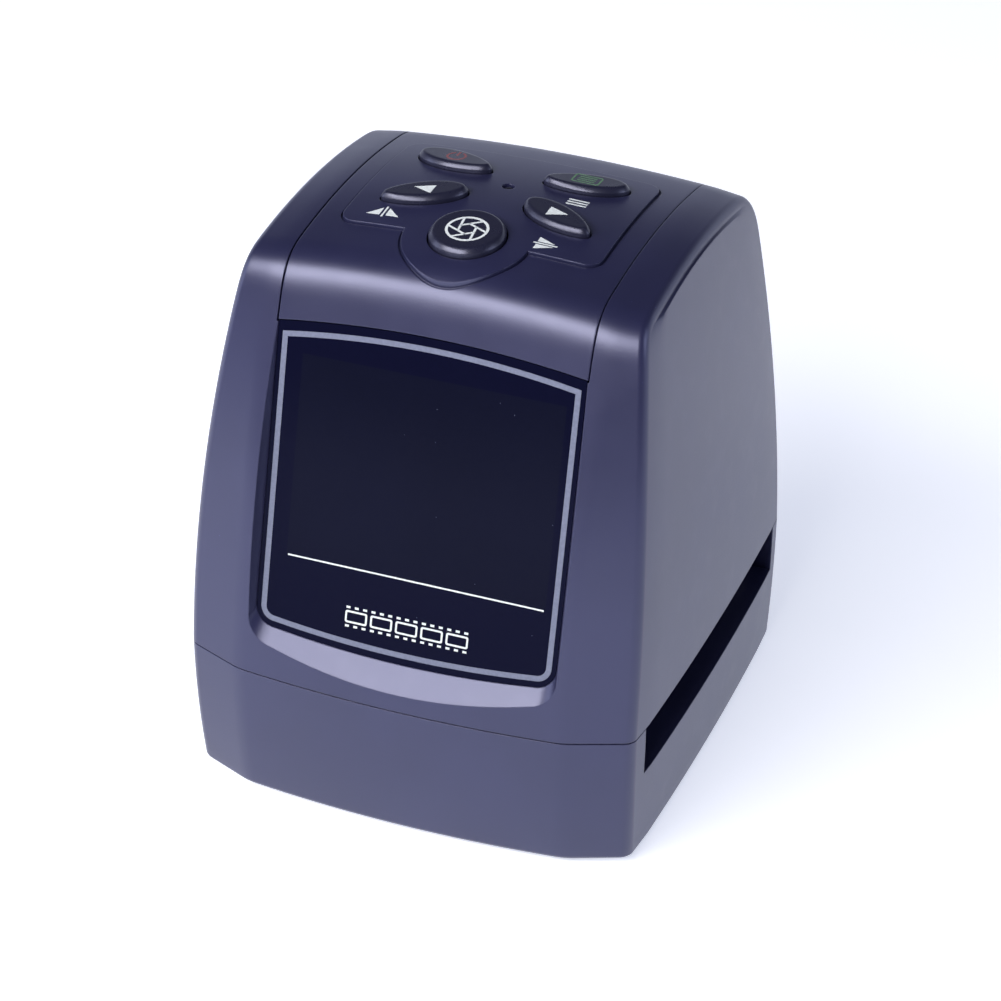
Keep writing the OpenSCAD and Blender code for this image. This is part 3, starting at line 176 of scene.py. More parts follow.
def mix(a, b, t):
    """The value that lies the share t of the way from a to b."""
    return a + (b - a) * t


def unit(vectors):
    """Vectors in their own directions, one long."""
    return vectors / np.linalg.norm(vectors, axis=-1, keepdims=True)


def bezier(a, b, c, d, count):
    """The first count points of a cubic curve cut into count pieces."""
    t = (np.arange(count) / count)[:, None]
    return (a * (1 - t) ** 3 + 3 * b * t * (1 - t) ** 2
            + 3 * c * t * t * (1 - t) + d * t ** 3)


def crossing(a, u, b, v):
    """Where the line from a along u meets the line from b along v."""
    return a + u * ((b[0] - a[0]) * v[1] - (b[1] - a[1]) * v[0]) / (u[0] * v[1] - u[1] * v[0])


def outward(line):
    """Outward directions along a side view, from the neighbours of each point."""
    ahead = np.vstack([line[1:], line[-1:]])
    back = np.vstack([line[:1], line[:-1]])
    along = unit(ahead - back)
    return np.stack([-along[:, 1], along[:, 0]], 1)


def inset_line(line, distance):
    """A side view drawn in by a distance."""
    return line - outward(line) * distance


class Case:
    """The curves of the case, worked out from the sizes in the sidebar."""
    # Radii of the bowed faces, leans as run over rise, swells of the faces at their middles
    side_bow_r, side_plan_r, crown_r, front_r = 430.0, 890.0, 140.0, 275.0
    base_front_r, base_rear_r = 160.0, 900.0
    front_lean, rear_lean = 0.135, 0.107
    front_swell, crown_swell, rear_swell = 1.95, 1.5, 0.32
    # Facets of the corners in degrees, half width of their soft creases, and the
    # height over which the front's swell fades
    facet_low, facet_high, rear_facet = 22.5, 10.0, 2.0
    crease_soft, front_fade = 1.6, 66.0
    # Blends from the front and the rear into the crown: drop, depth, pull to the corner
    front_blend_drop, front_blend_run, front_pull = 10.7, 8.44, 0.75
    rear_blend_drop, rear_blend_run, rear_pull = 13.7, 9.58, 0.7
    crown_run = 22.0              # from the crown's front end back to its highest place
    # Film channel: rooms before and behind it, rise of its ceiling over the parting line,
    # thickness of the shelf under it and of the chassis over it
    front_room, rear_room, ceiling_rise = 12.15, 5.05, 0.4
    shelf, chassis = 1.6, 2.2
    # Window: drop of its plane's origin under the top, sink into the front, upper corners
    # over the origin, and lower edge over the parting line with its share of the arc
    window_drop, window_sink, pane_top, pane_low, low_arc = 16.3, 0.35, 1.85, 8.7, 0.8
    # Wall behind the window, place of the picture across, share of the margin that lies over it
    slab, picture_x, picture_share = 1.8, 0.9, 0.258
    # Places behind the crown's front end, and drops of the boards under the top
    field_run, scan_run, front_keys_run, light_run, rear_keys_run = 5.9, 6.6, 17.3, 25.7, 31.7
    board_drop, rear_board_drop = 12.2, 26.7
    # Hole of the status light; width of a button's collar and its room under the strip
    light_hole, collar, collar_room = 1.15, 0.9, 0.35
    # Leaf buttons: turns in degrees, how much thicker one end is, and how lean the ends are
    rear_turn, front_turn, taper, lean_ends = 13, 25, 0.14, 0.12
    # Strip: round edge, room behind it, its rails, and the sill under the rear cover
    strip_edge, strip_room, rail_depth, sill = 0.25, 0.3, 1.5, 1.5
    # Posts: cover screws from the flanks and along the case, case screws, light screws,
    # and chassis screws from the flanks and from the ends of the channel
    cover_room, cover_y, case_x, case_room, light_x = 6, 18, 29.5, 4.2, 28
    chassis_room, chassis_front, chassis_rear = 3.1, 13.65, 9.75

    def __init__(self, scene):
        for group, prefix in ((scene.scanner_case, ""), (scene.scanner_panel, "panel_"),
                              (scene.scanner_window, "window_"), (scene.scanner_keys, "key_")):
            for name in group.__annotations__:
                value = getattr(group, name)
                setattr(self, prefix + name, value if name == "lean" else value / MM)
        self.crease_x = self.width / 2 - self.corner
        self.housing_z = self.seam + self.seam_gap / 2
        self.rim_z = self.seam - self.seam_gap / 2
        self.crease_front = -self.depth / 2 + self.front_swell
        self.crease_rear = self.depth / 2 - self.rear_swell
        self.crease_crown = self.height - self.crown_swell
        self.blend_front_z = self.height - self.front_blend_drop
        self.blend_rear_z = self.height - self.rear_blend_drop
        self.crown_front = float(self.front_y(self.blend_front_z)) + self.front_blend_run
        self.crown_rear = float(self.rear_y(self.blend_rear_z)) - self.rear_blend_run
        self.crown_y = self.crown_front + self.crown_run
        self.channel_front = self.front_room - self.depth / 2
        self.channel_rear = self.depth / 2 - self.rear_room
        self.channel_y = (self.channel_front + self.channel_rear) / 2
        self.channel_depth = self.channel_rear - self.channel_front
        self.channel_ceiling = self.seam + self.ceiling_rise
        self.chassis_top = self.channel_ceiling + self.chassis
        self.shelf_z = self.channel_floor - self.shelf
        self.window_z = self.height - self.window_drop
        self.window_y = float(self.front_y(self.window_z)) + self.window_sink
        self.pane_bottom = ((self.seam + self.pane_low - self.window_z)
                            / math.cos(self.window_lean))
        self.slab_back = self.window_thickness + self.slab
        spare = self.pane_top - self.pane_bottom - self.window_picture_height
        self.picture_z = (self.pane_top - spare * self.picture_share
                          - self.window_picture_height / 2)
        self.board_z = self.height - self.board_drop
        self.board_top = self.board_z + BOARD
        self.rear_board_z = self.height - self.rear_board_drop
        self.light_y = self.crown_front + self.light_run
        self.cover_z = self.height - self.panel_rear_drop
        spread = max(0, self.panel_width / 2 + self.crease_soft - self.crease_x)
        self.strip_inset = (self.panel_thickness
                            + spread * math.tan(math.radians(self.facet_high)))
        self.keys = self.key_places()
        self.posts = self.post_places()

    # The outside
    def side_x(self, y, z):
        """Half width of the case at a place of its side view."""
        return (self.width / 2 - sag(self.side_bow_r, z - self.seam)
                - sag(self.side_plan_r, y))

    def front_y(self, z):
        """Front of the case at the crease, at a height."""
        up = np.maximum(z - self.seam, 0)
        down = np.maximum(self.seam - z, 0)
        return (self.crease_front + self.front_lean * up + sag(self.front_r, up)
                + sag(self.base_front_r, down))

    def rear_y(self, z):
        """Back of the case at the crease, at a height."""
        up = np.maximum(z - self.seam, 0)
        down = np.maximum(self.seam - z, 0)
        return self.crease_rear - self.rear_lean * up - sag(self.base_rear_r, down)

    def crown_z(self, y):
        """Height of the crown at the crease."""
        return self.crease_crown - sag(self.crown_r, y - self.crown_y)

    def top_z(self, x, y):
        """Height of the strip on the crown."""
        return self.crown_z(y) + self.crown_swell * (1 - (x / self.crease_x) ** 2)

    def inner_x(self, z):
        """Half width of the room inside, near the ends of the case."""
        return self.side_x(0.4 * self.depth, z) - self.wall

    def side_view(self, low, counts, end):
        """Side view at the crease, from low on the front over the crown to end at the back.

        The counts are the pieces of the front, of each blend, of the crown and of the back."""
        front_n, blend_n, crown_n, rear_n = counts
        def steep(distance):
            """Slope of the crown at a distance from its highest place."""
            return distance / math.sqrt(self.crown_r ** 2 - distance ** 2)
        rise = self.blend_front_z - self.seam
        front_slope = self.front_lean + rise / math.sqrt(self.front_r ** 2 - rise ** 2)
        fa = np.array([self.front_y(self.blend_front_z), self.blend_front_z])
        fb = np.array([self.crown_front, self.crown_z(self.crown_front)])
        fc = crossing(fa, np.array([front_slope, 1]), fb,
                      np.array([1, steep(self.crown_y - self.crown_front)]))
        ra = np.array([self.crown_rear, self.crown_z(self.crown_rear)])
        rb = np.array([self.rear_y(self.blend_rear_z), self.blend_rear_z])
        rc = crossing(ra, np.array([1, -steep(self.crown_rear - self.crown_y)]), rb,
                      np.array([self.rear_lean, -1]))
        front_z = mix(low, self.blend_front_z, np.arange(front_n) / front_n)
        crown = mix(self.crown_front, self.crown_rear, np.arange(crown_n) / crown_n)
        rear_z = mix(self.blend_rear_z, end, np.arange(rear_n + 1) / rear_n)
        return np.vstack([
            np.stack([self.front_y(front_z), front_z], 1),
            bezier(fa, mix(fa, fc, self.front_pull), mix(fb, fc, self.front_pull), fb, blend_n),
            np.stack([crown, self.crown_z(crown)], 1),
            bezier(ra, mix(ra, rc, self.rear_pull), mix(rb, rc, self.rear_pull), rb, blend_n),
            np.stack([self.rear_y(rear_z), rear_z], 1)])

    def outward_of(self, line):
        """Outward directions; an end on the parting line stays level."""
        ways = outward(line)
        if line[0, 1] == self.housing_z:
            ways[0] = (-1, 0)
        if line[-1, 1] == self.housing_z:
            ways[-1] = (1, 0)
        return ways

    def bulge(self, x, ways, z):
        """How far the skin stands out from the crease profile: widths by points."""
        x = np.asarray(x, float)[:, None]
        z = np.asarray(z, float)[None, :]
        level, up = ways[:, 0][None, :], ways[:, 1][None, :]
        high = np.maximum(z - self.seam, 0)
        fade = np.maximum(0.05, 1 - high / self.front_fade)
        turned = np.minimum(1, high / self.front_fade)
        swell = up ** 2 * self.crown_swell + level ** 2 * np.where(
            level > 0, self.rear_swell, self.front_swell * fade)
        angle = up ** 2 * self.facet_high + level ** 2 * np.where(
            level > 0, self.rear_facet, mix(self.facet_low, self.facet_high, turned))
        fall = np.tan(np.radians(angle))
        past = np.abs(x) - self.crease_x
        bend = fall - 2 * swell / self.crease_x
        soft = np.maximum(0, self.crease_soft - np.abs(past))
        out = np.where(past <= 0, swell * (1 - (x / self.crease_x) ** 2), -past * fall)
        return out - bend * soft ** 2 / (4 * self.crease_soft)

    def stations(self):
        """Widths across the case, and for the side edges the angle round the edge."""
        flat = np.linspace(0, self.crease_x - self.crease_soft, 15)
        creased = self.crease_x + self.crease_soft * np.array([-0.5, 0, 0.5, 1])
        half = [(x, None) for x in np.append(flat, creased)]
        half += [(None, math.radians(a)) for a in range(0, 91, 15)]
        mirrored = [(None if x is None else -x, None if a is None else -a) for x, a in half]
        return mirrored[:0:-1] + half

    def station_x(self, station, rim):
        """Widths of a station, for the widths of the case along a line."""
        x, angle = station
        if x is not None:
            return np.full_like(rim, x)
        side = -1 if math.copysign(1, angle) < 0 else 1
        return side * (rim - self.edge * (1 - math.sin(abs(angle))))

    def station_inset(self, station):
        """How far a station of the side edge lies in."""
        return 0 if station[1] is None else self.edge * (1 - math.cos(station[1]))

    def outline(self, z, inset):
        """Plan outline of the case at a height, drawn in by an inset."""
        level = np.array([z])
        sides = []
        for y, way, sign in ((self.front_y(z), (-1, 0), 1), (self.rear_y(z), (1, 0), -1)):
            points = []
            for s in self.stations():
                x = float(self.station_x(s, np.array([self.side_x(y, z)]))[0])
                out = float(self.bulge([x], np.array([way], float), level)[0, 0])
                drawn = 0 if s[0] is not None else math.copysign(min(inset, abs(x)), x)
                points.append((x - drawn, y + sign * (self.station_inset(s) + inset - out)))
            sides.append(points)
        front, rear = sides[0], sides[1][::-1]

        def wall(a, b, side):
            """Points of a flank between two places along the case."""
            ys = mix(a, b, np.arange(1, 12) / 12)
            return [(side * (self.side_x(y, z) - inset), y) for y in ys]
        return np.array(front + wall(front[-1][1], rear[0][1], 1)
                        + rear + wall(rear[-1][1], front[0][1], -1))

    # The window plane
    def on_pane(self):
        """Puts an outline of the pane in its plane, so that it is extruded outwards."""
        return (Matrix.Translation((0, self.window_y, self.window_z))
                @ Matrix.Rotation(-self.window_lean, 4, "X") @ UPRIGHT)

    def world_of(self, inwards, up):
        """Place in the side view of a point given in the window plane."""
        c, s = math.cos(self.window_lean), math.sin(self.window_lean)
        return (self.window_y + inwards * c + up * s, self.window_z + up * c - inwards * s)

    def arc_rise(self, x, width):
        """Rise of the pane's arc over its ends."""
        return self.window_arc * (1 - (2 * x / width) ** 2)

    def pane_outline(self, grow, drop):
        """Outline of the pane; grow widens it, drop lowers its lower edge."""
        width = self.window_width + 2 * grow
        r, half = self.window_corner + grow, width / 2
        s, low = half - r, self.pane_bottom - drop
        top = [(x, self.pane_top + self.arc_rise(x, width)) for x in np.linspace(-half, half, 33)]
        turn = np.radians(np.arange(0, 91, 9))
        right = [(s + r * math.cos(a), low + r - r * math.sin(a)) for a in turn]
        foot = [(x, low - self.low_arc * self.window_arc * (1 - (x / s) ** 2))
                for x in np.linspace(s, -s, 33)[1:-1]]
        left = [(-x, z) for x, z in right[::-1]]
        return np.array(top + right + foot + left)

    # The buttons
    def key_places(self):
        """Place, turn and taper of each button; the round one has no taper."""
        x, rear = self.key_leaf_place, self.crown_front + self.rear_keys_run
        front = self.crown_front + self.front_keys_run
        return {"power": (-x, rear, -self.rear_turn, self.taper),
                "menu": (x, rear, self.rear_turn, self.taper),
                "left": (-x, front, self.front_turn, -self.taper),
                "right": (x, front, -self.front_turn, -self.taper),
                "scan": (0, self.crown_front + self.scan_run, 0, None)}

    def key_outline(self, key, grow, count=64):
        """Outline of a button round its own middle, grown all round."""
        x, _, turn, taper = self.keys[key]
        t = np.arange(count) * 2 * math.pi / count
        if taper is None:
            r = self.key_round_width / 2 + grow
            return np.stack([r * np.cos(t), r * np.sin(t)], 1)
        a, c = self.key_leaf_length / 2 + grow, self.key_leaf_width / 2 + grow
        leaf = np.stack([
            math.copysign(1, x) * a * np.cos(t),
            c * np.sin(t) * (1 - self.lean_ends * np.cos(t) ** 2) * (1 + taper * np.cos(t))], 1)
        cos, sin = math.cos(math.radians(turn)), math.sin(math.radians(turn))
        return leaf @ np.array([[cos, sin], [-sin, cos]])

    def on_field(self, x, y, height):
        """The plane that lies a height over the key field at a place."""
        slope = Matrix.Rotation(-math.atan((y - self.crown_y) / self.crown_r), 4, "X")
        sideways = Matrix.Rotation(
            math.atan(2 * self.crown_swell * x / self.crease_x ** 2), 4, "Y")
        level = float(self.top_z(x, y)) + self.panel_field_rise + height
        return Matrix.Translation((x, y, level)) @ sideways @ slope

    def collar_z(self, key):
        """Top of the collar that keeps a button under the strip, clear of its crown."""
        x, y, _, taper = self.keys[key]
        if taper is None:
            along = self.key_round_width / 2 + self.collar
            across = 0.3 * along
        else:
            across = self.key_leaf_length / 2 + self.collar
            along = 0.5 * across
        edge = [self.top_z(abs(x) + across, y + s * along) for s in (1, -1)]
        return float(min(edge)) - self.panel_thickness - self.collar_room

    # What several mouldings share
    def strip_widths(self):
        """Widths across the strip, from edge to edge."""
        half = self.panel_width / 2 - self.panel_gap
        return np.linspace(-half, half, 45)

    def post_places(self):
        """Places of the posts and screws that the mouldings share."""
        cover_x = self.inner_x(0) - self.cover_room
        chassis_x = self.inner_x(self.housing_z) - self.chassis_room
        both = (-1, 1)
        return {
            "cover": [(s * cover_x, self.channel_y + y) for s in both
                      for y in (-self.cover_y, self.cover_y)],
            "case": [(s * self.case_x, self.channel_front - self.case_room) for s in both],
            "light": [(s * self.light_x, self.channel_y) for s in both],
            "chassis": [(s * chassis_x, y) for s in both
                        for y in (self.channel_front + self.chassis_front,
                                  self.channel_rear - self.chassis_rear)]}


# ---- Meshes ----
def solid(points, faces):
    """A closed mesh object from points in millimetres over the feet."""
    lifted = (np.asarray(points, float) + (0, 0, FOOT_RISE)) * MM
    mesh = bpy.data.meshes.new("form")
    mesh.from_pydata(lifted.tolist(), [], faces)
    work = bmesh.new()
    work.from_mesh(mesh)
    bmesh.ops.remove_doubles(work, verts=work.verts, dist=1e-7)
    bmesh.ops.recalc_face_normals(work, faces=work.faces)
    work.to_mesh(mesh)
    work.free()
    made = bpy.data.objects.new("form", mesh)
    bpy.context.scene.collection.objects.link(made)
    return made


def loft(rings, closed=False):
    """A solid through rings of points; closed joins its last ring to the first."""
    n, m = len(rings[0]), len(rings)
    last = m if closed else m - 1
    faces = [(i * n + j, i * n + (j + 1) % n, (i + 1) % m * n + (j + 1) % n, (i + 1) % m * n + j)
             for i in range(last) for j in range(n)]
    if not closed:
        faces += [list(range(n)), list(range((m - 1) * n, m * n))[::-1]]
    return solid(np.vstack(rings), faces)


def placed(points, matrix):
    """Points turned and moved by a matrix."""
    matrix = np.array(matrix)
    return np.asarray(points) @ matrix[:3, :3].T + matrix[:3, 3]


def at_height(outline, z):
    """The points of an outline, all at one height."""
    return np.column_stack([np.asarray(outline, float), np.full(len(outline), float(z))])


def prism(outline, low, high, matrix=Matrix.Identity(4)):
    """An outline extruded from low to high in the plane of a matrix."""
    return loft([placed(at_height(outline, z), matrix) for z in (low, high)])


def side_prism(outline, low, high):
    """A side view of y and z extruded across."""
    across = Matrix(((0, 0, 1, 0), (1, 0, 0, 0), (0, 1, 0, 0), (0, 0, 0, 1)))
    return prism(outline, low, high, across)


def rectangle(width, height, x=0.0, y=0.0):
    """Outline of a rectangle round a place."""
    w, h = width / 2, height / 2
    return np.array([(x - w, y - h), (x + w, y - h), (x + w, y + h), (x - w, y + h)])


def block(width, depth, low, high, x=0.0, y=0.0):
    """An upright block."""
    return prism(rectangle(width, depth, x, y), low, high)


def circle(radius, x=0.0, y=0.0, count=48):
    """Outline of a circle round a place."""
    t = np.arange(count) * 2 * math.pi / count
    return np.stack([x + radius * np.cos(t), y + radius * np.sin(t)], 1)


def post(place, radius, low, high):
    """An upright cylinder."""
    return prism(circle(radius, *place), low, high)


def rounded(width, height, radius, x=0.0, y=0.0, steps=8):
    """Outline of a rectangle with round corners."""
    points = []
    for cx, cy, start in ((1, 1, 0), (-1, 1, 90), (-1, -1, 180), (1, -1, 270)):
        for a in np.radians(start + np.linspace(0, 90, steps)):
            points.append((x + cx * (width / 2 - radius) + radius * math.cos(a),
                           y + cy * (height / 2 - radius) + radius * math.sin(a)))
    return np.array(points)


def band(outer, inner, low, high, matrix, closed=True):
    """A flat band between two lines, as thick as low to high."""
    outer, inner = np.asarray(outer, float), np.asarray(inner, float)
    rings = [placed([(*a, low), (*b, low), (*b, high), (*a, high)], matrix)
             for a, b in zip(outer, inner)]
    return loft(rings, closed)


def combine(target, others, operation="DIFFERENCE"):
    """Takes the others off the target, or joins or crosses them, and uses them up."""
    for other in others:
        step = target.modifiers.new("step", "BOOLEAN")
        step.operation, step.solver, step.object = operation, "MANIFOLD", other
    view = bpy.context.evaluated_depsgraph_get()
    mesh = bpy.data.meshes.new_from_object(target.evaluated_get(view))
    target.modifiers.clear()
    old, target.data = target.data, mesh
    bpy.data.meshes.remove(old)
    for other in others:
        bpy.data.meshes.remove(other.data)
    if not len(mesh.polygons):
        raise RuntimeError(f"{target.name} came out empty")
    return target


def merge(parts):
    """Several separate solids as one object."""
    work = bmesh.new()
    for part in parts:
        work.from_mesh(part.data)
    mesh = bpy.data.meshes.new("merged")
    work.to_mesh(mesh)
    work.free()
    for part in parts:
        bpy.data.meshes.remove(part.data)
    made = bpy.data.objects.new("merged", mesh)
    bpy.context.scene.collection.objects.link(made)
    return made


def finish(obj, name, body, look, *nodes, smooth=True):
    """Names a piece, keeps it in the CAD box, smooths it, gives it its look and its body."""
    obj.name = obj.data.name = name
    low, high = (np.array(corner) for corner in CAD_BOX)
    places = np.empty(len(obj.data.vertices) * 3)
    obj.data.vertices.foreach_get("co", places)
    obj.data.vertices.foreach_set("co", np.clip(places.reshape(-1, 3), low, high).ravel())
    if smooth:
        obj.data.shade_smooth()
        obj.data.set_sharp_from_angle(angle=SHARP_ANGLE)
        weighted = obj.modifiers.new("normals", "WEIGHTED_NORMAL")
        weighted.keep_sharp = True
    obj.data.materials.clear()
    obj.data.materials.append(finish_of(look))
    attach(obj, body)
    if nodes:
        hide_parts(*nodes)


# ---- Shaders ----
class Wire:
    """A shader socket that can stand in a sum; every operator adds a Math node."""

    def __init__(self, shader, socket):
        self.shader, self.socket = shader, socket

    def math(self, operation, *others):
        return self.shader.math(operation, self, *others)

    def __add__(self, other):
        return self.math("ADD", other)

    def __sub__(self, other):
        return self.math("SUBTRACT", other)

    def __rsub__(self, other):
        return self.shader.math("SUBTRACT", other, self)

    def __mul__(self, other):
        return self.math("MULTIPLY", other)

    __radd__, __rmul__ = __add__, __mul__

    def __abs__(self):
        return self.math("ABSOLUTE")

    def above(self, limit):
        return self.math("GREATER_THAN", limit)

    def below(self, limit):
        return self.math("LESS_THAN", limit)

    def ramp(self, low, high, start=0.0, end=1.0):
        """Runs smoothly from start to end while the value runs from low to high."""
        return self.shader.node("MapRange", {"interpolation_type": "SMOOTHSTEP"}, {
            "Value": self, "From Min": low, "From Max": high, "To Min": start, "To Max": end})


class Shader:
    """The nodes of one procedural material, or of the world."""

    def __init__(self, name, owner=bpy.data.materials, coordinates="Object"):
        self.material = owner.new(name)
        self.material.use_nodes = True
        self.nodes, self.links = (self.material.node_tree.nodes,
                                  self.material.node_tree.links)
        self.nodes.clear()
        self.place = self.node("TexCoord", output=coordinates)

    def node(self, kind, settings=None, sockets=None, output=0):
        """Adds a node: its settings first, then the values or wires of its sockets."""
        made = self.nodes.new("ShaderNode" + kind)
        for name, value in (settings or {}).items():
            setattr(made, name, value)
        for name, value in (sockets or {}).items():
            if isinstance(value, Wire):
                self.links.new(value.socket, made.inputs[name])
            elif isinstance(value, tuple) and made.inputs[name].type == "RGBA":
                made.inputs[name].default_value = (*value, 1)
            else:
                made.inputs[name].default_value = value
        return Wire(self, made.outputs[output]) if made.outputs else made

    def math(self, operation, *values):
        """A Math node on wires and numbers."""
        return self.node("Math", {"operation": operation}, dict(enumerate(values)))

    def noise(self, size, detail=2.0, stretch=None):
        """Noise with grains about size millimetres wide."""
        place = self.place
        if stretch:
            place = self.node("VectorMath", {"operation": "MULTIPLY"},
                              {0: place, 1: stretch})
        return self.node("TexNoise", {}, {"Vector": place, "Scale": 1 / (size * MM),
                                          "Detail": detail})

    def cells(self, size):
        """Distance from the middle of cells about size millimetres wide."""
        return self.node("TexVoronoi", {}, {"Vector": self.place, "Scale": 1 / (size * MM)},
                         "Distance")

    def specks(self, cell, size):
        """Small dots, one at most in each cell, both in millimetres."""
        return self.cells(cell).below(size / cell)

    def blend(self, factor, first, second):
        """Colour between two colours."""
        return self.node("Mix", {"data_type": "RGBA"}, {0: factor, 6: first, 7: second}, 2)

    def axes(self, place):
        """The X, Y and Z of a place."""
        outputs = self.node("SeparateXYZ", {}, {0: place}).socket.node.outputs
        return [Wire(self, outputs[axis]) for axis in range(3)]

    def split(self):
        """The X, Y and Z of the place on the object, in millimetres."""
        return self.axes(self.node("VectorMath", {"operation": "SCALE"},
                                   {0: self.place, "Scale": 1 / MM}))

    def rounded_normal(self, radius):
        """Normals that turn softly round the edges, and how near an edge is."""
        soft = self.node("Bevel", {"samples": 4}, {"Radius": radius * MM})
        true = self.node("NewGeometry", output="Normal")
        same = self.node("VectorMath", {"operation": "DOT_PRODUCT"}, {0: soft, 1: true}, "Value")
        return soft, same.ramp(0.995, 0.8)

    def bump(self, height, depth, strength=1.0, normal=None):
        """Normals over a height, which is depth millimetres deep."""
        sockets = {"Height": height, "Distance": depth * MM, "Strength": strength}
        if normal:
            sockets["Normal"] = normal
        return self.node("Bump", {}, sockets)

    def surface(self, **sockets):
        """The principled shader and the output; socket names have _ for spaces."""
        named = {name.replace("_", " "): value for name, value in sockets.items()}
        look = self.node("BsdfPrincipled", {}, named)
        self.node("OutputMaterial", {}, {"Surface": look})
        return self.material


def tinted(value, factor):
    """A colour made darker or brighter by a factor."""
    return tuple(min(1.0, c * factor) for c in value)


def satin_plastic(shader, colours):
    """Satin moulding with a fine spark texture, handling marks and worn edges."""
    base = tuple(colours.case)
    soft, edge = shader.rounded_normal(0.3)
    cloud = shader.noise(22, 3)
    rubbed = shader.noise(5, 4).ramp(0.45, 0.75)
    spark = shader.noise(0.28, 3)
    tone = shader.blend(cloud.ramp(0.35, 0.65), tinted(base, 0.93), tinted(base, 1.07))
    tone = shader.blend(edge * 0.2, tone, tinted(base, 1.8))
    lint = shader.specks(6, 0.13)
    tone = shader.blend(lint * 0.5, tone, tinted(base, 3))
    grain = shader.bump(spark, 0.05 * colours.spark, 0.5, soft)
    return shader.surface(Base_Color=tone, Normal=grain, Specular_IOR_Level=1.0,
                          Specular_Tint=(0.67, 0.70, 1.0),
                          Roughness=0.30 + 0.025 * cloud - 0.02 * rubbed + 0.04 * spark)


def key_plastic(shader, colours):
    """Semi-gloss button plastic, a little polished where fingers press."""
    base = tuple(colours.key)
    soft, edge = shader.rounded_normal(0.18)
    worn = shader.noise(3.5, 3).ramp(0.4, 0.7)
    grain = shader.noise(0.25, 2)
    tone = shader.blend(worn * 0.5, base, tinted(base, 1.25))
    tone = shader.blend(edge * 0.25, tone, tinted(base, 2))
    return shader.surface(Base_Color=tone, Specular_IOR_Level=0.8,
                          Specular_Tint=(0.70, 0.73, 1.0),
                          Roughness=0.3 - 0.06 * worn + 0.04 * grain,
                          Normal=shader.bump(grain, 0.012, 0.4, soft))


def window_pane(shader, colours):
    """Clear pane with a black print behind it, through which the display shows."""
    case = Case(bpy.context.scene)
    x, y, z = shader.split()
    c, s = math.cos(case.window_lean), math.sin(case.window_lean)
    up = (y - case.window_y) * s + (z - (case.window_z + FOOT_RISE)) * c
    half_w, half_h = case.window_picture_width / 2, case.window_picture_height / 2
    across = abs(x - case.picture_x).ramp(half_w + 0.1, half_w - 0.1)
    along = abs(up - case.picture_z).ramp(half_h + 0.1, half_h - 0.1)
    drift = shader.noise(30, 2)
    screen = shader.blend(drift, tinted(colours.picture, 0.8), tinted(colours.picture, 1.25))
    tone = shader.blend(across * along, tuple(colours.window), screen)
    dust = shader.specks(2.4, 0.075) * shader.noise(9, 2).above(0.52)
    tone = shader.blend(dust * 0.8, tone, (0.16, 0.18, 0.3))
    smear = shader.noise(7, 4, (1, 1, 0.35)).ramp(0.5, 0.8)
    return shader.surface(Base_Color=tone, Specular_IOR_Level=0.07,
                          Specular_Tint=(0.6, 0.65, 1.0),
                          Roughness=0.05 + 0.07 * smear + 0.4 * dust,
                          Normal=shader.bump(drift, 0.02, 0.15))


def print_ink(value, roughness=0.45):
    """Screen printed ink, thinner in places."""
    def build(shader, colours):
        base = tuple(getattr(colours, value))
        thin = shader.noise(0.5, 3)
        tone = shader.blend(thin.ramp(0.35, 0.7), tinted(base, 0.86), base)
        return shader.surface(Base_Color=tone, Roughness=roughness + 0.1 * thin,
                              Specular_IOR_Level=0.3, Normal=shader.bump(thin, 0.01, 0.3))
    return build


def plain_plastic(base, roughness, grain_size=0.5, depth=0.03):
    """Matt moulded plastic with flow marks and a fine grain."""
    def build(shader, colours):
        flow = shader.noise(12, 3, (1, 1, 3))
        grain = shader.noise(grain_size, 3)
        tone = shader.blend(flow, tinted(base, 0.85), tinted(base, 1.12))
        return shader.surface(Base_Color=tone, Roughness=roughness + 0.12 * grain - 0.05 * flow,
                              Normal=shader.bump(grain, depth, 0.5))
    return build


def rubber(shader, colours):
    """Soft black rubber with dust in its pores."""
    pores = shader.noise(0.4, 4)
    dust = shader.noise(2.5, 3).ramp(0.5, 0.8)
    tone = shader.blend(dust * 0.4, (0.022, 0.022, 0.024), (0.09, 0.088, 0.085))
    return shader.surface(Base_Color=tone, Roughness=0.75 + 0.15 * pores,
                          Specular_IOR_Level=0.35, Normal=shader.bump(pores, 0.06, 0.7))


def zinc_steel(shader, colours):
    """Rolled steel under bright zinc, with fine lines and dull spangles."""
    spangle = shader.cells(1.6)
    rolled = shader.noise(0.3, 3, (1, 12, 1))
    tone = shader.blend(spangle, (0.50, 0.52, 0.56), (0.66, 0.67, 0.69))
    return shader.surface(Base_Color=tone, Metallic=0.95 - 0.1 * spangle,
                          Roughness=0.26 + 0.14 * rolled + 0.08 * spangle,
                          Normal=shader.bump(rolled, 0.01, 0.4))


def solder_mask(shader, colours):
    """Green solder mask over copper areas and tracks."""
    across = shader.split()[0]
    weave = shader.noise(0.6, 2)
    pour = shader.noise(4, 1).above(0.5)
    track = (across * 0.8).math("PINGPONG", 1.0).above(0.7)
    copper = (pour + track).math("MINIMUM", 1.0)
    tone = shader.blend(copper, (0.010, 0.085, 0.035), (0.022, 0.17, 0.07))
    return shader.surface(Base_Color=tone, Roughness=0.3 + 0.12 * weave,
                          Normal=shader.bump(copper + weave * 0.3, 0.03, 0.5))


def opal_plastic(shader, colours):
    """Opal diffuser plastic with a faint mottle."""
    mottle = shader.noise(2, 4)
    tone = shader.blend(mottle, (0.80, 0.81, 0.80), (0.90, 0.90, 0.88))
    return shader.surface(Base_Color=tone, Roughness=0.4 + 0.15 * mottle,
                          Subsurface_Weight=0.15, Subsurface_Radius=(0.002, 0.002, 0.0015),
                          Normal=shader.bump(mottle, 0.01, 0.3))


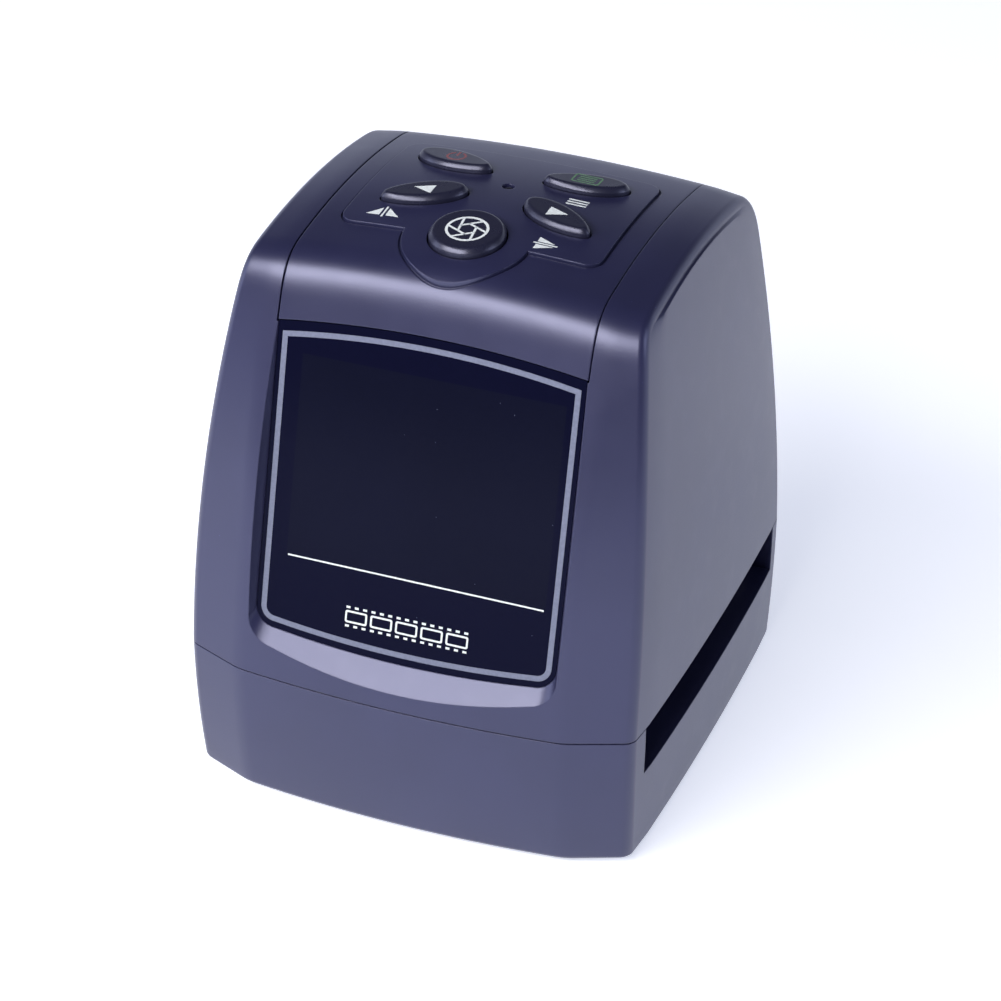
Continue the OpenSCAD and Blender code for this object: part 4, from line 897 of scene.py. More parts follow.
def clear_glass(shader, colours):
    """Coated glass and clear lenses, a little smudged."""
    smudge = shader.noise(3, 3)
    tone = shader.blend(smudge, (0.60, 0.70, 0.78), (0.72, 0.80, 0.84))
    return shader.surface(Base_Color=tone, Roughness=0.04 + 0.08 * smudge,
                          Transmission_Weight=0.6, IOR=1.5, Coat_Weight=0.3,
                          Normal=shader.bump(smudge, 0.004, 0.2))


def amber_film(shader, colours):
    """Amber film over fine copper leads."""
    leads = shader.split()[0].math("PINGPONG", 0.5).above(0.24)
    haze = shader.noise(1.2, 3)
    tone = shader.blend(leads * 0.6 + haze * 0.2, (0.42, 0.17, 0.025), (0.62, 0.33, 0.07))
    return shader.surface(Base_Color=tone, Roughness=0.22 + 0.12 * haze,
                          Normal=shader.bump(leads + haze * 0.2, 0.02, 0.5))


FINISHES = {
    "satin_grey": satin_plastic, "button_black": key_plastic, "window_black": window_pane,
    "inner_black": plain_plastic((0.014, 0.014, 0.018), 0.55),
    "rubber_black": rubber, "zinc_steel": zinc_steel, "board_green": solder_mask,
    "opal_white": opal_plastic, "clear_glass": clear_glass, "flex_amber": amber_film,
    "chip_black": plain_plastic((0.02, 0.02, 0.022), 0.5, 0.3, 0.02),
    "frame_print": print_ink("frame_line", 0.3), "white_print": print_ink("white_print"),
    "red_print": print_ink("red_print"), "green_print": print_ink("green_print"),
    "smoked_lens": plain_plastic((0.010, 0.010, 0.022), 0.12, 0.8, 0.005),
}
made_finishes = {}


def finish_of(name):
    """The material of a finish, made the first time it is asked for."""
    if name not in made_finishes:
        made_finishes[name] = FINISHES[name](Shader(name), bpy.context.scene.scanner_finish)
    return made_finishes[name]


# ---- Pieces ----
class SCANNER_OT_base(bpy.types.Operator):
    """Moulds the base with its film channel"""
    bl_idname = "scanner.base"
    bl_label = "Base"
    bl_options = {"REGISTER", "UNDO"}
    # Rounded lower edge as height and inset, lip inside the rim, walls of the channel
    rounding = ((0, 1.2), (0.09, 0.85), (0.35, 0.36), (0.75, 0.09), (1.2, 0))
    lip, lip_drop, channel_wall, end_depth = 1, 4, 1, 50
    # Heights at which the posts begin, room for the heads of the case screws, skin over
    # the cover screws, depth of the light's screws in the shelf, opening over the light
    case_post, cover_post, light_post, head_room = 0.3, 2.1, 14, 14
    cover_skin, light_bite, light_width, light_depth = 3, 0.6, 40, 28
    # Hooks that catch over the housing's rear sill: place, size, top over the parting line,
    # room to the wall, roots from the shelf to under the rim, and side view of the catch
    hook_x, hook_width, hook_depth, hook_top, hook_room = 16, 8, 1, 3.4, 0.15
    root_drop, root_top, catch = 2, 1.5, ((0, 2), (0.85, 2.6), (0, 3.2))

    def execute(self, context):
        c = Case(context.scene)
        levels = [*self.rounding, *((z, 0) for z in np.linspace(3, c.rim_z, 14))]
        base = loft([at_height(c.outline(z, inset), z) for z, inset in levels])
        combine(base, [self.bay(c, c.wall - self.lip, c.rim_z - self.lip_drop, c.housing_z)],
                "UNION")
        end = self.channel_wall + self.end_depth / 2
        combine(base, [self.bay(c, c.wall, -THROUGH, c.shelf_z),
                       self.bay_end(c, c.channel_front - end),
                       self.bay_end(c, c.channel_rear + end)])
        combine(base, self.posts(c) + self.hooks(c), "UNION")
        combine(base, self.cuts(c))
        finish(base, "base_moulding", "case", "satin_grey", "base_shell")
        return {"FINISHED"}

    def bay(self, c, inset, low, high):
        """Upright form with the plan of the case a little over its lower end."""
        return prism(c.outline(min(low + self.lip_drop, c.rim_z), inset), low, high)

    def bay_end(self, c, y):
        """The room between the channel and the front or the rear wall."""
        form = self.bay(c, c.wall, c.shelf_z - LAP, c.housing_z + THROUGH)
        part = block(c.width + BEYOND, self.end_depth, 0, c.housing_z + 2, 0, y)
        return combine(form, [part], "INTERSECT")

    def posts(self, c):
        """Posts of the long case screws, the cover screws and the light's screws."""
        top = c.shelf_z + WELD
        return ([post(p, BOSS, self.case_post, c.channel_ceiling) for p in c.posts["case"]]
                + [post(p, BOSS, self.cover_post, top) for p in c.posts["cover"]]
                + [post(p, BOSS_MEDIUM, self.light_post, top) for p in c.posts["light"]])

    def hooks(self, c):
        """Two hooks at the rear wall, each with its root and its catch."""
        y = (float(c.rear_y(c.housing_z)) - max(c.wall, c.panel_thickness + c.strip_room)
             - self.hook_depth / 2 - self.hook_room)
        low, parts = c.shelf_z - self.root_drop, []
        for x in (-self.hook_x, self.hook_x):
            parts += [
                block(self.hook_width, self.hook_depth, low, c.housing_z + self.hook_top, x, y),
                block(self.hook_width, 2 * self.hook_depth, low, c.rim_z - self.root_top, x,
                      y + self.hook_depth / 2),
                side_prism([(y + run, c.housing_z + rise) for run, rise in self.catch],
                           x - self.hook_width / 2, x + self.hook_width / 2)]
        return parts

    def cuts(self, c):
        """The channel, the opening over the light and the screw holes."""
        cuts = [block(c.width + BEYOND, c.channel_depth, c.channel_floor, c.housing_z + 2,
                      0, c.channel_y),
                block(self.light_width, self.light_depth, c.shelf_z - THROUGH,
                      c.channel_floor + THROUGH, 0, c.channel_y)]
        for p in c.posts["case"]:
            cuts += [post(p, HEAD, -THROUGH, self.head_room),
                     post(p, SHANK, -THROUGH, c.housing_z + 2)]
        cuts += [post(p, PILOT_WIDE, 0, c.shelf_z - self.cover_skin) for p in c.posts["cover"]]
        return cuts + [post(p, PILOT, 0, c.shelf_z + self.light_bite) for p in c.posts["light"]]


def housing_form(case):
    """The whole housing as one closed form, from the parting line up."""
    line = case.side_view(case.housing_z, (40, 16, 24, 40), case.housing_z)
    ways = case.outward_of(line)
    stations = case.stations()
    m, k, half, columns = len(line), len(stations), (len(line) - 1) // 2, 16
    rim = case.side_x(line[:, 0], line[:, 1])
    grid = []
    for s in stations:
        x = case.station_x(s, rim)
        out = np.array([case.bulge([x[j]], ways[j:j + 1], line[j:j + 1, 1])[0, 0]
                        for j in range(m)]) - case.station_inset(s)
        grid.append(np.column_stack([x, line + ways * out[:, None]]))
    grid = np.array(grid)
    # The flanks run from each point of the front half straight to its fellow at the back
    walls = []
    for e in (0, k - 1):
        for j in range(half):
            a, b = grid[e, j], grid[e, m - 1 - j]
            for i in range(1, columns):
                p = mix(a, b, i / columns)
                walls.append((math.copysign(case.side_x(p[1], p[2]), a[0]), p[1], p[2]))

    def at_wall(side, j, i):
        """Number of the point in row j and column i of a flank."""
        edge = side * (k - 1)
        if i == 0:
            return edge * m + j
        if i == columns:
            return edge * m + m - 1 - j
        return k * m + (side * half + j) * (columns - 1) + i - 1
    faces = [(s * m + j, s * m + j + 1, (s + 1) * m + j + 1, (s + 1) * m + j)
             for s in range(k - 1) for j in range(m - 1)]
    for side in (0, 1):
        for i in range(columns):
            faces += [(at_wall(side, j, i), at_wall(side, j, i + 1), at_wall(side, j + 1, i + 1),
                       at_wall(side, j + 1, i)) for j in range(half - 1)]
            faces.append((at_wall(side, half - 1, i), at_wall(side, half - 1, i + 1),
                          side * (k - 1) * m + half))
    inner = range(1, columns)
    faces.append([s * m for s in range(k)] + [at_wall(1, 0, i) for i in inner]
                 + [s * m + m - 1 for s in reversed(range(k))]
                 + [at_wall(0, 0, i) for i in reversed(inner)])
    return solid(np.vstack([grid.reshape(-1, 3), walls]), faces)


def skin_strip(case, line, widths, thickness, lift=0.0, round_edge=0.0):
    """A strip of the housing's skin over a part of the side view, lifted off it or flush."""
    ways = case.outward_of(line)
    widths = np.asarray(widths, float)
    drops = np.zeros(len(widths))
    if round_edge:
        angles = np.radians((90, 60, 30, 0))
        rim = widths[-1]
        xs = rim - round_edge * (1 - np.sin(angles))
        ds = round_edge * (1 - np.cos(angles))
        kept = widths[np.abs(widths) < rim - round_edge * 1.05]
        widths = np.concatenate([-xs, kept, xs[::-1]])
        drops = np.concatenate([ds, np.zeros(len(kept)), ds[::-1]])
    out = case.bulge(widths, ways, line[:, 1])
    k, m = len(widths), len(line)
    x = np.repeat(widths[:, None], m, 1)[:, :, None]
    layers = []
    for depth in (drops - lift, np.full(k, thickness)):
        skin = line[None] + ways[None] * (out - depth[:, None])[:, :, None]
        layers.append(np.concatenate([x, skin], 2).reshape(-1, 3))

    def at(layer, s, j):
        """Number of the point in row s and column j of a layer."""
        return layer * k * m + s * m + j
    faces = [tuple(at(layer, s + a, j + b) for a, b in ((0, 0), (0, 1), (1, 1), (1, 0)))
             for layer in (0, 1) for s in range(k - 1) for j in range(m - 1)]
    faces += [(at(0, s, j), at(0, s, j + 1), at(1, s, j + 1), at(1, s, j))
              for s in (0, k - 1) for j in range(m - 1)]
    faces += [(at(0, s, j), at(0, s + 1, j), at(1, s + 1, j), at(1, s, j))
              for j in (0, m - 1) for s in range(k - 1)]
    return solid(np.vstack(layers), faces)


def past_pane(case, width, gap, end, count=33):
    """Everything between the upper edge of the pane and an end over or under it."""
    xs = np.linspace(-width / 2, width / 2, count)
    edge = [(x, case.pane_top + gap + case.arc_rise(x, case.window_width)) for x in xs]
    return prism(edge + [(width / 2, end), (-width / 2, end)], -60, 30, case.on_pane())


class SCANNER_OT_housing(bpy.types.Operator):
    """Moulds the upper housing with the recess of the window"""
    bl_idname = "scanner.housing"
    bl_label = "Housing"
    bl_options = {"REGISTER", "UNDO"}
    # Hollow: front wall from the crease, cut corners, run under the parting line, and end
    # of the wall behind the window, in the window plane
    front_wall, corner_x, corner_y, corner_lap, hollow_drop, slab_top = 4.25, 6.5, 6.8, 0.4, 6, 3.2
    # Rails that carry the strip: reach inwards and outwards from its edges
    rail_in, rail_out = 2.4, 2.6
    # Posts over the chassis: heights, depths of their holes, radius of the chassis posts
    # and of the sockets for the base's posts
    chassis_post, chassis_hole, case_post, case_hole = 11, 9, 7.8, 7
    chassis_r, socket_r = 3.4, 3.35
    # Main board: half of the display module, its tray, room, screws from the pane's ends,
    # depth of the posts, their root in the wall, and skin between their holes and the wall
    module, tray, module_room, screw_low, screw_top = 28, 0.55, 0.4, 7, 8.85
    board_depth, board_weld, board_skin = 8.3, 0.5, 0.4
    # Rear board: room to the flank, screws from its rear edge, length of the posts, depth
    # of their holes, size of the gussets that join them to the flanks and their drop
    flank_room, screw_front, screw_rear, post_drop, post_hole = 0.9, 21.3, 4.3, 11, 7
    gusset_width, gusset_depth, gusset_drop = 5.2, 1.6, 0.6
    # Recess round the pane: depth, slopes of its sides and of the ledge; opening behind the
    # pane: how much larger than the picture, and reach
    recess_depth, side_slope, ledge_slope, picture_room, opening_reach = 8, 0.42, 1.78, 2, 6

    def execute(self, context):
        c = Case(context.scene)
        housing = housing_form(c)
        back = block(c.panel_width, 40, c.housing_z + c.sill, c.height + 5, 0, c.depth / 2)
        combine(housing, [self.hollow(c), past_pane(c, c.panel_width, -c.panel_gap, 40), back])
        main, rear = self.main_screws(c), self.rear_screws(c)
        combine(housing, self.rails(c) + self.posts(c, main, rear), "UNION")
        combine(housing, self.recess(c) + self.holes(c, main, rear))
        finish(housing, "housing_moulding", "case", "satin_grey", "upper_housing")
        return {"FINISHED"}

    def main_screws(self, c):
        """Screws of the main board, in the window plane, on either side of the display."""
        side = c.picture_x + self.module + self.tray + BOSS_SMALL + self.module_room
        return [(x, z) for x in (-side, side)
                for z in (c.pane_bottom + self.screw_low, c.pane_top - self.screw_top)]

    def rear_screws(self, c):
        """Screws of the rear board, near the flanks."""
        edge = float(c.rear_y(c.rear_board_z)) - c.strip_inset - c.rail_depth - c.strip_room
        side = float(c.inner_x(c.rear_board_z)) - self.flank_room - BOSS_SMALL
        return [(x, y) for x in (-side, side)
                for y in (edge - self.screw_front, edge - self.screw_rear)]

    def posts(self, c, main, rear):
        """Posts over the chassis, behind the window and under the rear board."""
        pane, level = c.on_pane(), c.rear_board_z
        low = level - self.post_drop
        parts = [post(p, self.chassis_r, c.chassis_top, c.chassis_top + self.chassis_post)
                 for p in c.posts["chassis"]]
        parts += [post(p, BOSS, c.chassis_top, c.chassis_top + self.case_post)
                  for p in c.posts["case"]]
        parts += [prism(circle(BOSS_SMALL, *p), -self.board_depth,
                        self.board_weld - c.slab_back, pane) for p in main]
        for x, y in rear:
            middle = math.copysign(abs(x) + self.gusset_width / 2, x)
            parts.append(post((x, y), BOSS_MEDIUM, low, level))
            parts.append(block(self.gusset_width, self.gusset_depth, low,
                               level - self.gusset_drop, middle, y))
        return parts

    def holes(self, c, main, rear):
        """Sockets for the base's posts, and the screw holes of all the posts."""
        pane, level = c.on_pane(), c.rear_board_z
        cuts = [post(p, self.socket_r, 0, c.channel_ceiling) for p in c.posts["case"]]
        cuts += [post(p, PILOT_WIDE, 0, c.chassis_top + self.chassis_hole)
                 for p in c.posts["chassis"]]
        cuts += [post(p, PILOT_WIDE, 0, c.chassis_top + self.case_hole) for p in c.posts["case"]]
        cuts += [prism(circle(PILOT, *p), -self.board_depth - THROUGH,
                       -c.slab_back - self.board_skin, pane) for p in main]
        return cuts + [post(p, PILOT, level - self.post_hole, level + THROUGH) for p in rear]

    def hollow(self, c):
        """The room inside, as its side view crossed with its front view and its plan."""
        line = c.side_view(c.blend_front_z - 1, (1, 4, 5, 4), c.housing_z)[1:]
        front = float(c.crease_front) + self.front_wall
        foot = c.housing_z - self.hollow_drop
        cos, tan = math.cos(c.window_lean), math.tan(c.window_lean)

        def slab_y(z):
            """Back of the wall behind the window, at a height."""
            return c.window_y + c.slab_back / cos - (c.window_z - z) * tan
        knee = [(min(slab_y(c.chassis_top), front - 0.1), c.chassis_top),
                (slab_y(c.chassis_top + 0.5), c.chassis_top + 0.5)]
        inside = [c.world_of(c.slab_back, (foot - 2 - c.window_z) / cos), *knee,
                  c.world_of(c.slab_back, self.slab_top), *inset_line(line, c.wall),
                  (float(c.rear_y(c.housing_z)) - c.wall, foot)]
        heights = np.linspace(foot, c.height - 2, 9)
        across = [(s * c.inner_x(z), z) for s in (1, -1) for z in heights[::s]]
        side, rear = float(c.inner_x(c.housing_z)), c.depth / 2
        corner = [(side - self.corner_x, front - self.corner_lap), (side, front + self.corner_y),
                  (side, rear)]
        plan = [(-x, y) for x, y in corner[::-1]] + corner
        return combine(side_prism(inside, -c.width / 2, c.width / 2),
                       [prism(across, -rear, rear, UPRIGHT), prism(plan, foot, c.height * 2)],
                       "INTERSECT")

    def rails(self, c):
        """Rails under the two long edges of the strip."""
        line = c.side_view(c.blend_front_z - 2, (1, 6, 9, 4), c.housing_z + 6)
        rail = np.vstack([inset_line(line, c.strip_inset),
                          inset_line(line, c.strip_inset + c.rail_depth)[::-1]])
        inner, outer = c.panel_width / 2 - self.rail_in, c.panel_width / 2 + self.rail_out
        return [side_prism(rail, inner, outer), side_prism(rail, -outer, -inner)]

    def recess(self, c):
        """The recess with its sloped ledge and sides, the pane's place and its opening."""
        pane, near = c.on_pane(), c.pane_outline(0, 0)
        far = c.pane_outline(self.side_slope * self.recess_depth,
                             self.ledge_slope * self.recess_depth)
        rings = [placed(at_height(outline, rise), pane)
                 for outline, rise in ((near, -LAP), (near, 0), (far, self.recess_depth))]
        opening = rectangle(c.window_picture_width + self.picture_room,
                            c.window_picture_height + self.picture_room,
                            c.picture_x, c.picture_z)
        return [loft(rings), prism(near, -c.window_thickness, 0, pane),
                prism(opening, -self.opening_reach, self.opening_reach, pane)]


class SCANNER_OT_panel(bpy.types.Operator):
    """Moulds the strip over the crown with its raised button field"""
    bl_idname = "scanner.panel"
    bl_label = "Top panel"
    bl_options = {"REGISTER", "UNDO"}
    # Button field: half width of its skin, root, corners, nose before the round button and
    # reach of its plan over and under the top; groove round it: half width of its skin,
    # depth, width and lap under the field
    field_half, field_root, field_corner, nose_run, reach = 26, 1, 3, 0.4, 15
    groove_half, groove_depth, groove_width, groove_lap = 27, 0.35, 0.4, 0.05
    # Screws of the button board, their holes over it, and the skin left over their posts
    screw_x, screw_front, screw_rear, screw_hole, skin = 22, 4, 37.5, 6, 0.9

    def execute(self, context):
        c = Case(context.scene)
        line = c.side_view(c.window_z - 5, (8, 18, 34, 2), c.cover_z + c.panel_gap)
        panel = skin_strip(c, line, c.strip_widths(), c.panel_thickness, 0, c.strip_edge)
        combine(panel, [past_pane(c, 80, c.panel_gap, -40, 61)])
        short = c.side_view(c.blend_front_z - 1, (2, 12, 34, 2), c.blend_rear_z - 1)
        field = skin_strip(c, short, np.linspace(-self.field_half, self.field_half, 53),
                           self.field_root, c.panel_field_rise)
        combine(field, [self.field_plan(c, 0, self.reach)], "INTERSECT")
        groove = skin_strip(c, short, np.linspace(-self.groove_half, self.groove_half, 55),
                            self.groove_depth, 1)
        ring = combine(self.field_plan(c, self.groove_width, self.reach),
                       [self.field_plan(c, -self.groove_lap, self.reach + 1)])
        combine(groove, [ring], "INTERSECT")
        combine(panel, [groove])
        screws = [(x, c.crown_front + run) for x in (-self.screw_x, self.screw_x)
                  for run in (self.screw_front, self.screw_rear)]
        posts = [post(p, BOSS_SMALL, c.board_top, float(c.top_z(*p)) - self.skin)
                 for p in screws]
        combine(panel, [field, *posts], "UNION")
        cuts = [prism(c.key_outline(key, c.key_gap) + c.keys[key][:2], c.board_z + 4,
                      c.height + 10) for key in c.keys]
        cuts.append(post((0, c.light_y), c.light_hole, 0, c.height + 5))
        cuts += [post(p, PILOT, 0, c.board_z + self.screw_hole) for p in screws]
        combine(panel, cuts)
        finish(panel, "crown_strip", "case", "satin_grey", "top_panel")
        return {"FINISHED"}

    def field_plan(self, c, grow, reach):
        """Upright form with the plan of the field and its round nose, grown all round."""
        low, high = c.height - reach, c.height + reach
        middle = c.crown_front + c.field_run + c.panel_field_depth / 2
        plan = rounded(c.panel_field_width + 2 * grow, c.panel_field_depth + 2 * grow,
                       self.field_corner + grow, 0, middle)
        nose = circle(c.panel_nose + grow, 0, c.keys["scan"][1] - self.nose_run, 96)
        return combine(prism(plan, low, high), [prism(nose, low, high)], "UNION")


class SCANNER_OT_rear_cover(bpy.types.Operator):
    """Moulds the cover at the back with its openings"""
    bl_idname = "scanner.rear_cover"
    bl_label = "Rear cover"
    bl_options = {"REGISTER", "UNDO"}
    # Openings over the rear board: place across, that of the card slot from the strip's
    # edge, width, bottom, top and gap all round
    card_x, card = 16.9, (25.4, 0.3, 3, 0)
    usb, video = (11.5, 7.8, 0, 4, 0.25), (22, 6.4, 0, 5.4, 0.25)
    # Air slots: number, width, height, pitch and height of the lowest over the parting line
    slots, slot_width, slot_height, slot_pitch, slot_low = 5, 30, 1.6, 5, 17.2

    def execute(self, context):
        c = Case(context.scene)
        heights = np.linspace(c.cover_z - c.panel_gap, c.housing_z + c.sill + 3 * c.panel_gap, 40)
        line = np.stack([c.rear_y(heights), heights], 1)
        cover = skin_strip(c, line, c.strip_widths(), c.panel_thickness, 0, c.strip_edge)
        level, rear = c.rear_board_z + BOARD, c.depth / 2
        openings = ((self.card_x - c.panel_width / 2, *self.card), self.usb, self.video)
        cuts = [block(width + 2 * gap, 30, level + low - gap, level + high + gap, x, rear)
                for x, width, low, high, gap in openings]
        for i in range(self.slots):
            low = c.seam + self.slot_low + self.slot_pitch * i
            cuts.append(block(self.slot_width, 30, low, low + self.slot_height, 0, rear))
        combine(cover, cuts)
        finish(cover, "back_cover", "case", "satin_grey", "rear_cover")
        return {"FINISHED"}


# ---- Prints ----
class Ink:
    """Prints outlines and lines on one plane, from low to high over it."""

    def __init__(self, plane, low, high):
        self.plane, self.low, self.high, self.parts = plane, low, high, []

    def fill(self, outline):
        """The area in an outline."""
        self.parts.append(prism(outline, self.low, self.high, self.plane))

    def ring(self, outer, inner, closed=True):
        """The area between two lines."""
        self.parts.append(band(outer, inner, self.low, self.high, self.plane, closed))

    def stroke(self, points, width, closed=False):
        """A line of a width along points."""
        points = np.asarray(points, float)
        ahead, back = np.roll(points, -1, 0), np.roll(points, 1, 0)
        if not closed:
            ahead[-1], back[0] = points[-1], points[0]
        along = unit(ahead - back)
        side = np.stack([-along[:, 1], along[:, 0]], 1) * width / 2
        self.ring(points + side, points - side, closed)

    def bars(self, width, height, pitch):
        """Three bars over each other."""
        for y in (-pitch, 0, pitch):
            self.fill(rectangle(width, height, 0, y))


def arc(radius, start, end, x=0.0, y=0.0, count=40):
    """Points along an arc, between two angles in degrees."""
    t = np.radians(np.linspace(start, end, count))
    return np.stack([x + radius * np.cos(t), y + radius * np.sin(t)], 1)


def arrow_sign(ink, way):
    """A triangle that points to one side."""
    ink.fill(np.array([(-1.75, -1.5), (1.9, 0), (-1.75, 1.5)]) * (way, 1))


def power_sign(ink):
    """A ring that is open above, and a bar in its gap."""
    ink.stroke(arc(1.65, 115, 425, 0.2, -0.1), 0.42)
    ink.stroke([(0.2, 0.1), (0.2, 1.9)], 0.42)


def menu_sign(ink):
    """Three bars in a frame."""
    ink.ring(rounded(5.2, 3.5, 0.5), rounded(4.6, 2.9, 0.3))
    ink.bars(3.2, 0.34, 0.8)


def shutter_sign(ink):
    """A ring and the six edges of a shutter's blades."""
    ink.stroke(arc(3.6, 0, 351), 0.5, True)
    for start in np.radians(60 * np.arange(6)):
        end = start + math.radians(100)
        ink.stroke([(3.4 * math.cos(start), 3.4 * math.sin(start)),
                    (1.75 * math.cos(end), 1.75 * math.sin(end))], 0.42)


def mirror_sign(ink):
    """Two triangles on either side of an upright line."""
    for s in (-1, 1):
        ink.fill([(s * 0.6, -1.2), (s * 3.0, -1.2), (s * 0.6, 1.2)])
    ink.stroke([(0, -1.7), (0, 1.7)], 0.34)


def flip_sign(ink):
    """Two triangles over and under a level line."""
    for s in (-1, 1):
        ink.fill([(-1.6, s * 0.45), (1.6, s * 0.45), (-1.6, s * 1.9)])
    ink.stroke([(-2.2, 0), (2.2, 0)], 0.32)


def film_sign(ink, level):
    """A short strip of film: bare frames between two rows of sprocket holes."""
    for x in np.linspace(-9.4, 9.8, 5):
        ink.ring(rounded(4.2, 2.3, 0.4, x, level), rounded(3.5, 1.6, 0.2, x, level))
    for x in np.linspace(-11, 11.4, 15):
        for side in (-1.75, 1.75):
            ink.fill(rectangle(0.75, 0.42, x, level + side))


class SCANNER_OT_window(bpy.types.Operator):
    """Makes the display window, the lines printed on it and a painted highlight line under the
    picture
    """
    bl_idname = "scanner.window"
    bl_label = "Display window"
    bl_options = {"REGISTER", "UNDO"}
    room = 0.1                       # between the pane and its recess
    # Frame line: half width, corners, heights of its highest and its lowest place, fall of
    # its upper arc at that half width, and rise of its lower arc at a half width of its own
    line_half, line_corner, line_top, line_low = 27.65, 2.8, 90.65, 35.2
    upper_arc, lower_arc, lower_half = 2.2, 1.6, 26
    # Painted highlight under the picture, a thin white line where the lens's lower edge catches
    # light: width, height, drop; and the height of the film sign
    mark_width, mark_height, film_z = 48.4, 0.3, 40.6

    def execute(self, context):
        c = Case(context.scene)
        pane = c.on_pane()
        outline = c.pane_outline(-self.room, -self.room)
        top = c.pane_top + c.arc_rise(0, c.window_width) - self.room / 2
        outline[:, 1] = np.minimum(outline[:, 1], top)
        finish(prism(outline, -c.window_thickness, 0, pane), "window_pane", "case",
               "window_black", "display_window")
        line = Ink(pane, -PRINT, PRINT)
        line.ring(self.frame_line(c, 0), self.frame_line(c, c.window_line))
        finish(line.parts[0], "window_frame_print", "case", "frame_print", smooth=False)
        signs = Ink(pane, -PRINT, PRINT)
        edge = c.picture_z - c.window_picture_height / 2
        # Painted highlight: a thin white line under the picture for the light caught by the lens's
        # lower edge, made with the white signs
        signs.fill(rectangle(self.mark_width, self.mark_height, c.picture_x,
                             edge - self.mark_height))
        film_sign(signs, (self.film_z - c.window_z) / math.cos(c.window_lean))
        finish(merge(signs.parts), "window_signs", "case", "white_print", smooth=False)
        return {"FINISHED"}

    def frame_line(self, c, inset):
        """Outline of the frame line: straight sides, arched ends, round lower corners."""
        half, r = self.line_half - inset, self.line_corner - inset
        cos, s = math.cos(c.window_lean), half - r
        top = (self.line_top - c.window_z) / cos - inset
        low = (self.line_low - c.window_z) / cos + inset
        rise = self.lower_arc / cos / self.lower_half ** 2
        upper = [(x, top - self.upper_arc * (x / self.line_half) ** 2)
                 for x in np.linspace(-half, half, 33)]
        right = [(s + r * math.cos(a), low + rise * s ** 2 + r - r * math.sin(a))
                 for a in np.radians(np.arange(0, 91, 9))]
        foot = [(x, low + rise * x ** 2) for x in np.linspace(s, -s, 33)[1:-1]]
        return np.array(upper + right + foot + [(-x, z) for x, z in right[::-1]])


class SCANNER_OT_keys(bpy.types.Operator):
    """Makes the five buttons and the signs on them"""
    bl_idname = "scanner.keys"
    bl_label = "Buttons"
    bl_options = {"REGISTER", "UNDO"}
    # Soft shoulder as outset from the outline and height over the top
    shoulder = ((0, -1.0), (-0.08, -0.84), (-0.26, -0.58), (-0.46, -0.32), (-0.62, -0.15),
                (-0.8, -0.045), (-1.0, -0.008), (-1.3, 0))
    # Lap of the skirt in the collar's plate, thickness of the plate, foot of the stem over
    # the board, and rise of the prints over the top
    skirt, plate, stem_foot, print_rise = 0.3, 1.1, 4.5, 0.012
    signs = {"power": (power_sign, "red_print"), "menu": (menu_sign, "green_print"),
             "left": (lambda ink: arrow_sign(ink, -1), "white_print"),
             "right": (lambda ink: arrow_sign(ink, 1), "white_print"),
             "scan": (shutter_sign, "white_print")}

    def execute(self, context):
        c = Case(context.scene)
        for key in c.keys:
            self.button(c, key)
            draw, look = self.signs[key]
            ink = Ink(c.on_field(*c.keys[key][:2], 0), c.key_rise - PRINT,
                      c.key_rise + self.print_rise)
            draw(ink)
            finish(merge(ink.parts), key + "_sign", key + "_key", look, smooth=False)
        return {"FINISHED"}

    def button(self, c, key):
        """A button with its collar and its stem."""
        x, y = c.keys[key][:2]
        collar = c.collar_z(key)
        rings = [at_height(c.key_outline(key, 0) + (x, y), z)
                 for z in (collar - self.skirt, collar)]
        for outset, drop in self.shoulder:
            rings.append(placed(at_height(c.key_outline(key, outset), 0),
                                c.on_field(x, y, c.key_rise + drop)))
        button = loft(rings)
        plate = prism(c.key_outline(key, c.collar) + (x, y), collar - self.plate, collar)
        stem = post((x, y), BOSS_SMALL, c.board_top + self.stem_foot, collar - 1)
        combine(button, [plate, stem], "UNION")
        finish(button, key + "_cap", key + "_key", "button_black", key + "_button")


class SCANNER_OT_field_signs(bpy.types.Operator):
    """Prints the small signs of the button field"""
    bl_idname = "scanner.field_signs"
    bl_label = "Field signs"
    bl_options = {"REGISTER", "UNDO"}
    # Each sign, its place across, the button that it belongs to and its place before that
    signs = ((mirror_sign, -17.0, "left", 7.3), (flip_sign, 13.5, "right", 8.4),
             (lambda ink: ink.bars(3.8, 0.42, 0.9), 13.4, "menu", 6.9))
    low, high = -0.03, 0.015

    def execute(self, context):
        c, parts = Case(context.scene), []
        for draw, x, key, run in self.signs:
            ink = Ink(c.on_field(x, c.keys[key][1] - run, 0), self.low, self.high)
            draw(ink)
            parts += ink.parts
        finish(merge(parts), "field_signs", "case", "white_print", smooth=False)
        return {"FINISHED"}


class SCANNER_OT_status_light(bpy.types.Operator):
    """Sets the status light into its hole"""
    bl_idname = "scanner.status_light"
    bl_label = "Status light"
    bl_options = {"REGISTER", "UNDO"}
    # Radii of the foot and the stem, height of the foot, dome, and how deep the light lies
    foot_r, stem_r, foot, dome, sink = 2, 1, 2, 0.4, 0.3

    def execute(self, context):
        c = Case(context.scene)
        dome_z = float(c.top_z(0, c.light_y)) + c.panel_field_rise - self.sink - self.dome
        foot_z = c.board_top + self.foot
        rings = [(self.foot_r, c.board_top), (self.foot_r, foot_z),
                 (self.stem_r, foot_z + 0.0001), (self.stem_r, dome_z)]
        rings += [(self.stem_r * math.cos(a), dome_z + self.dome * math.sin(a))
                  for a in np.radians((20, 40, 60, 80))]
        lens = loft([at_height(circle(r, 0, c.light_y, 32), z) for r, z in rings])
        finish(lens, "status_lens", "case", "smoked_lens", "status_light")
        return {"FINISHED"}


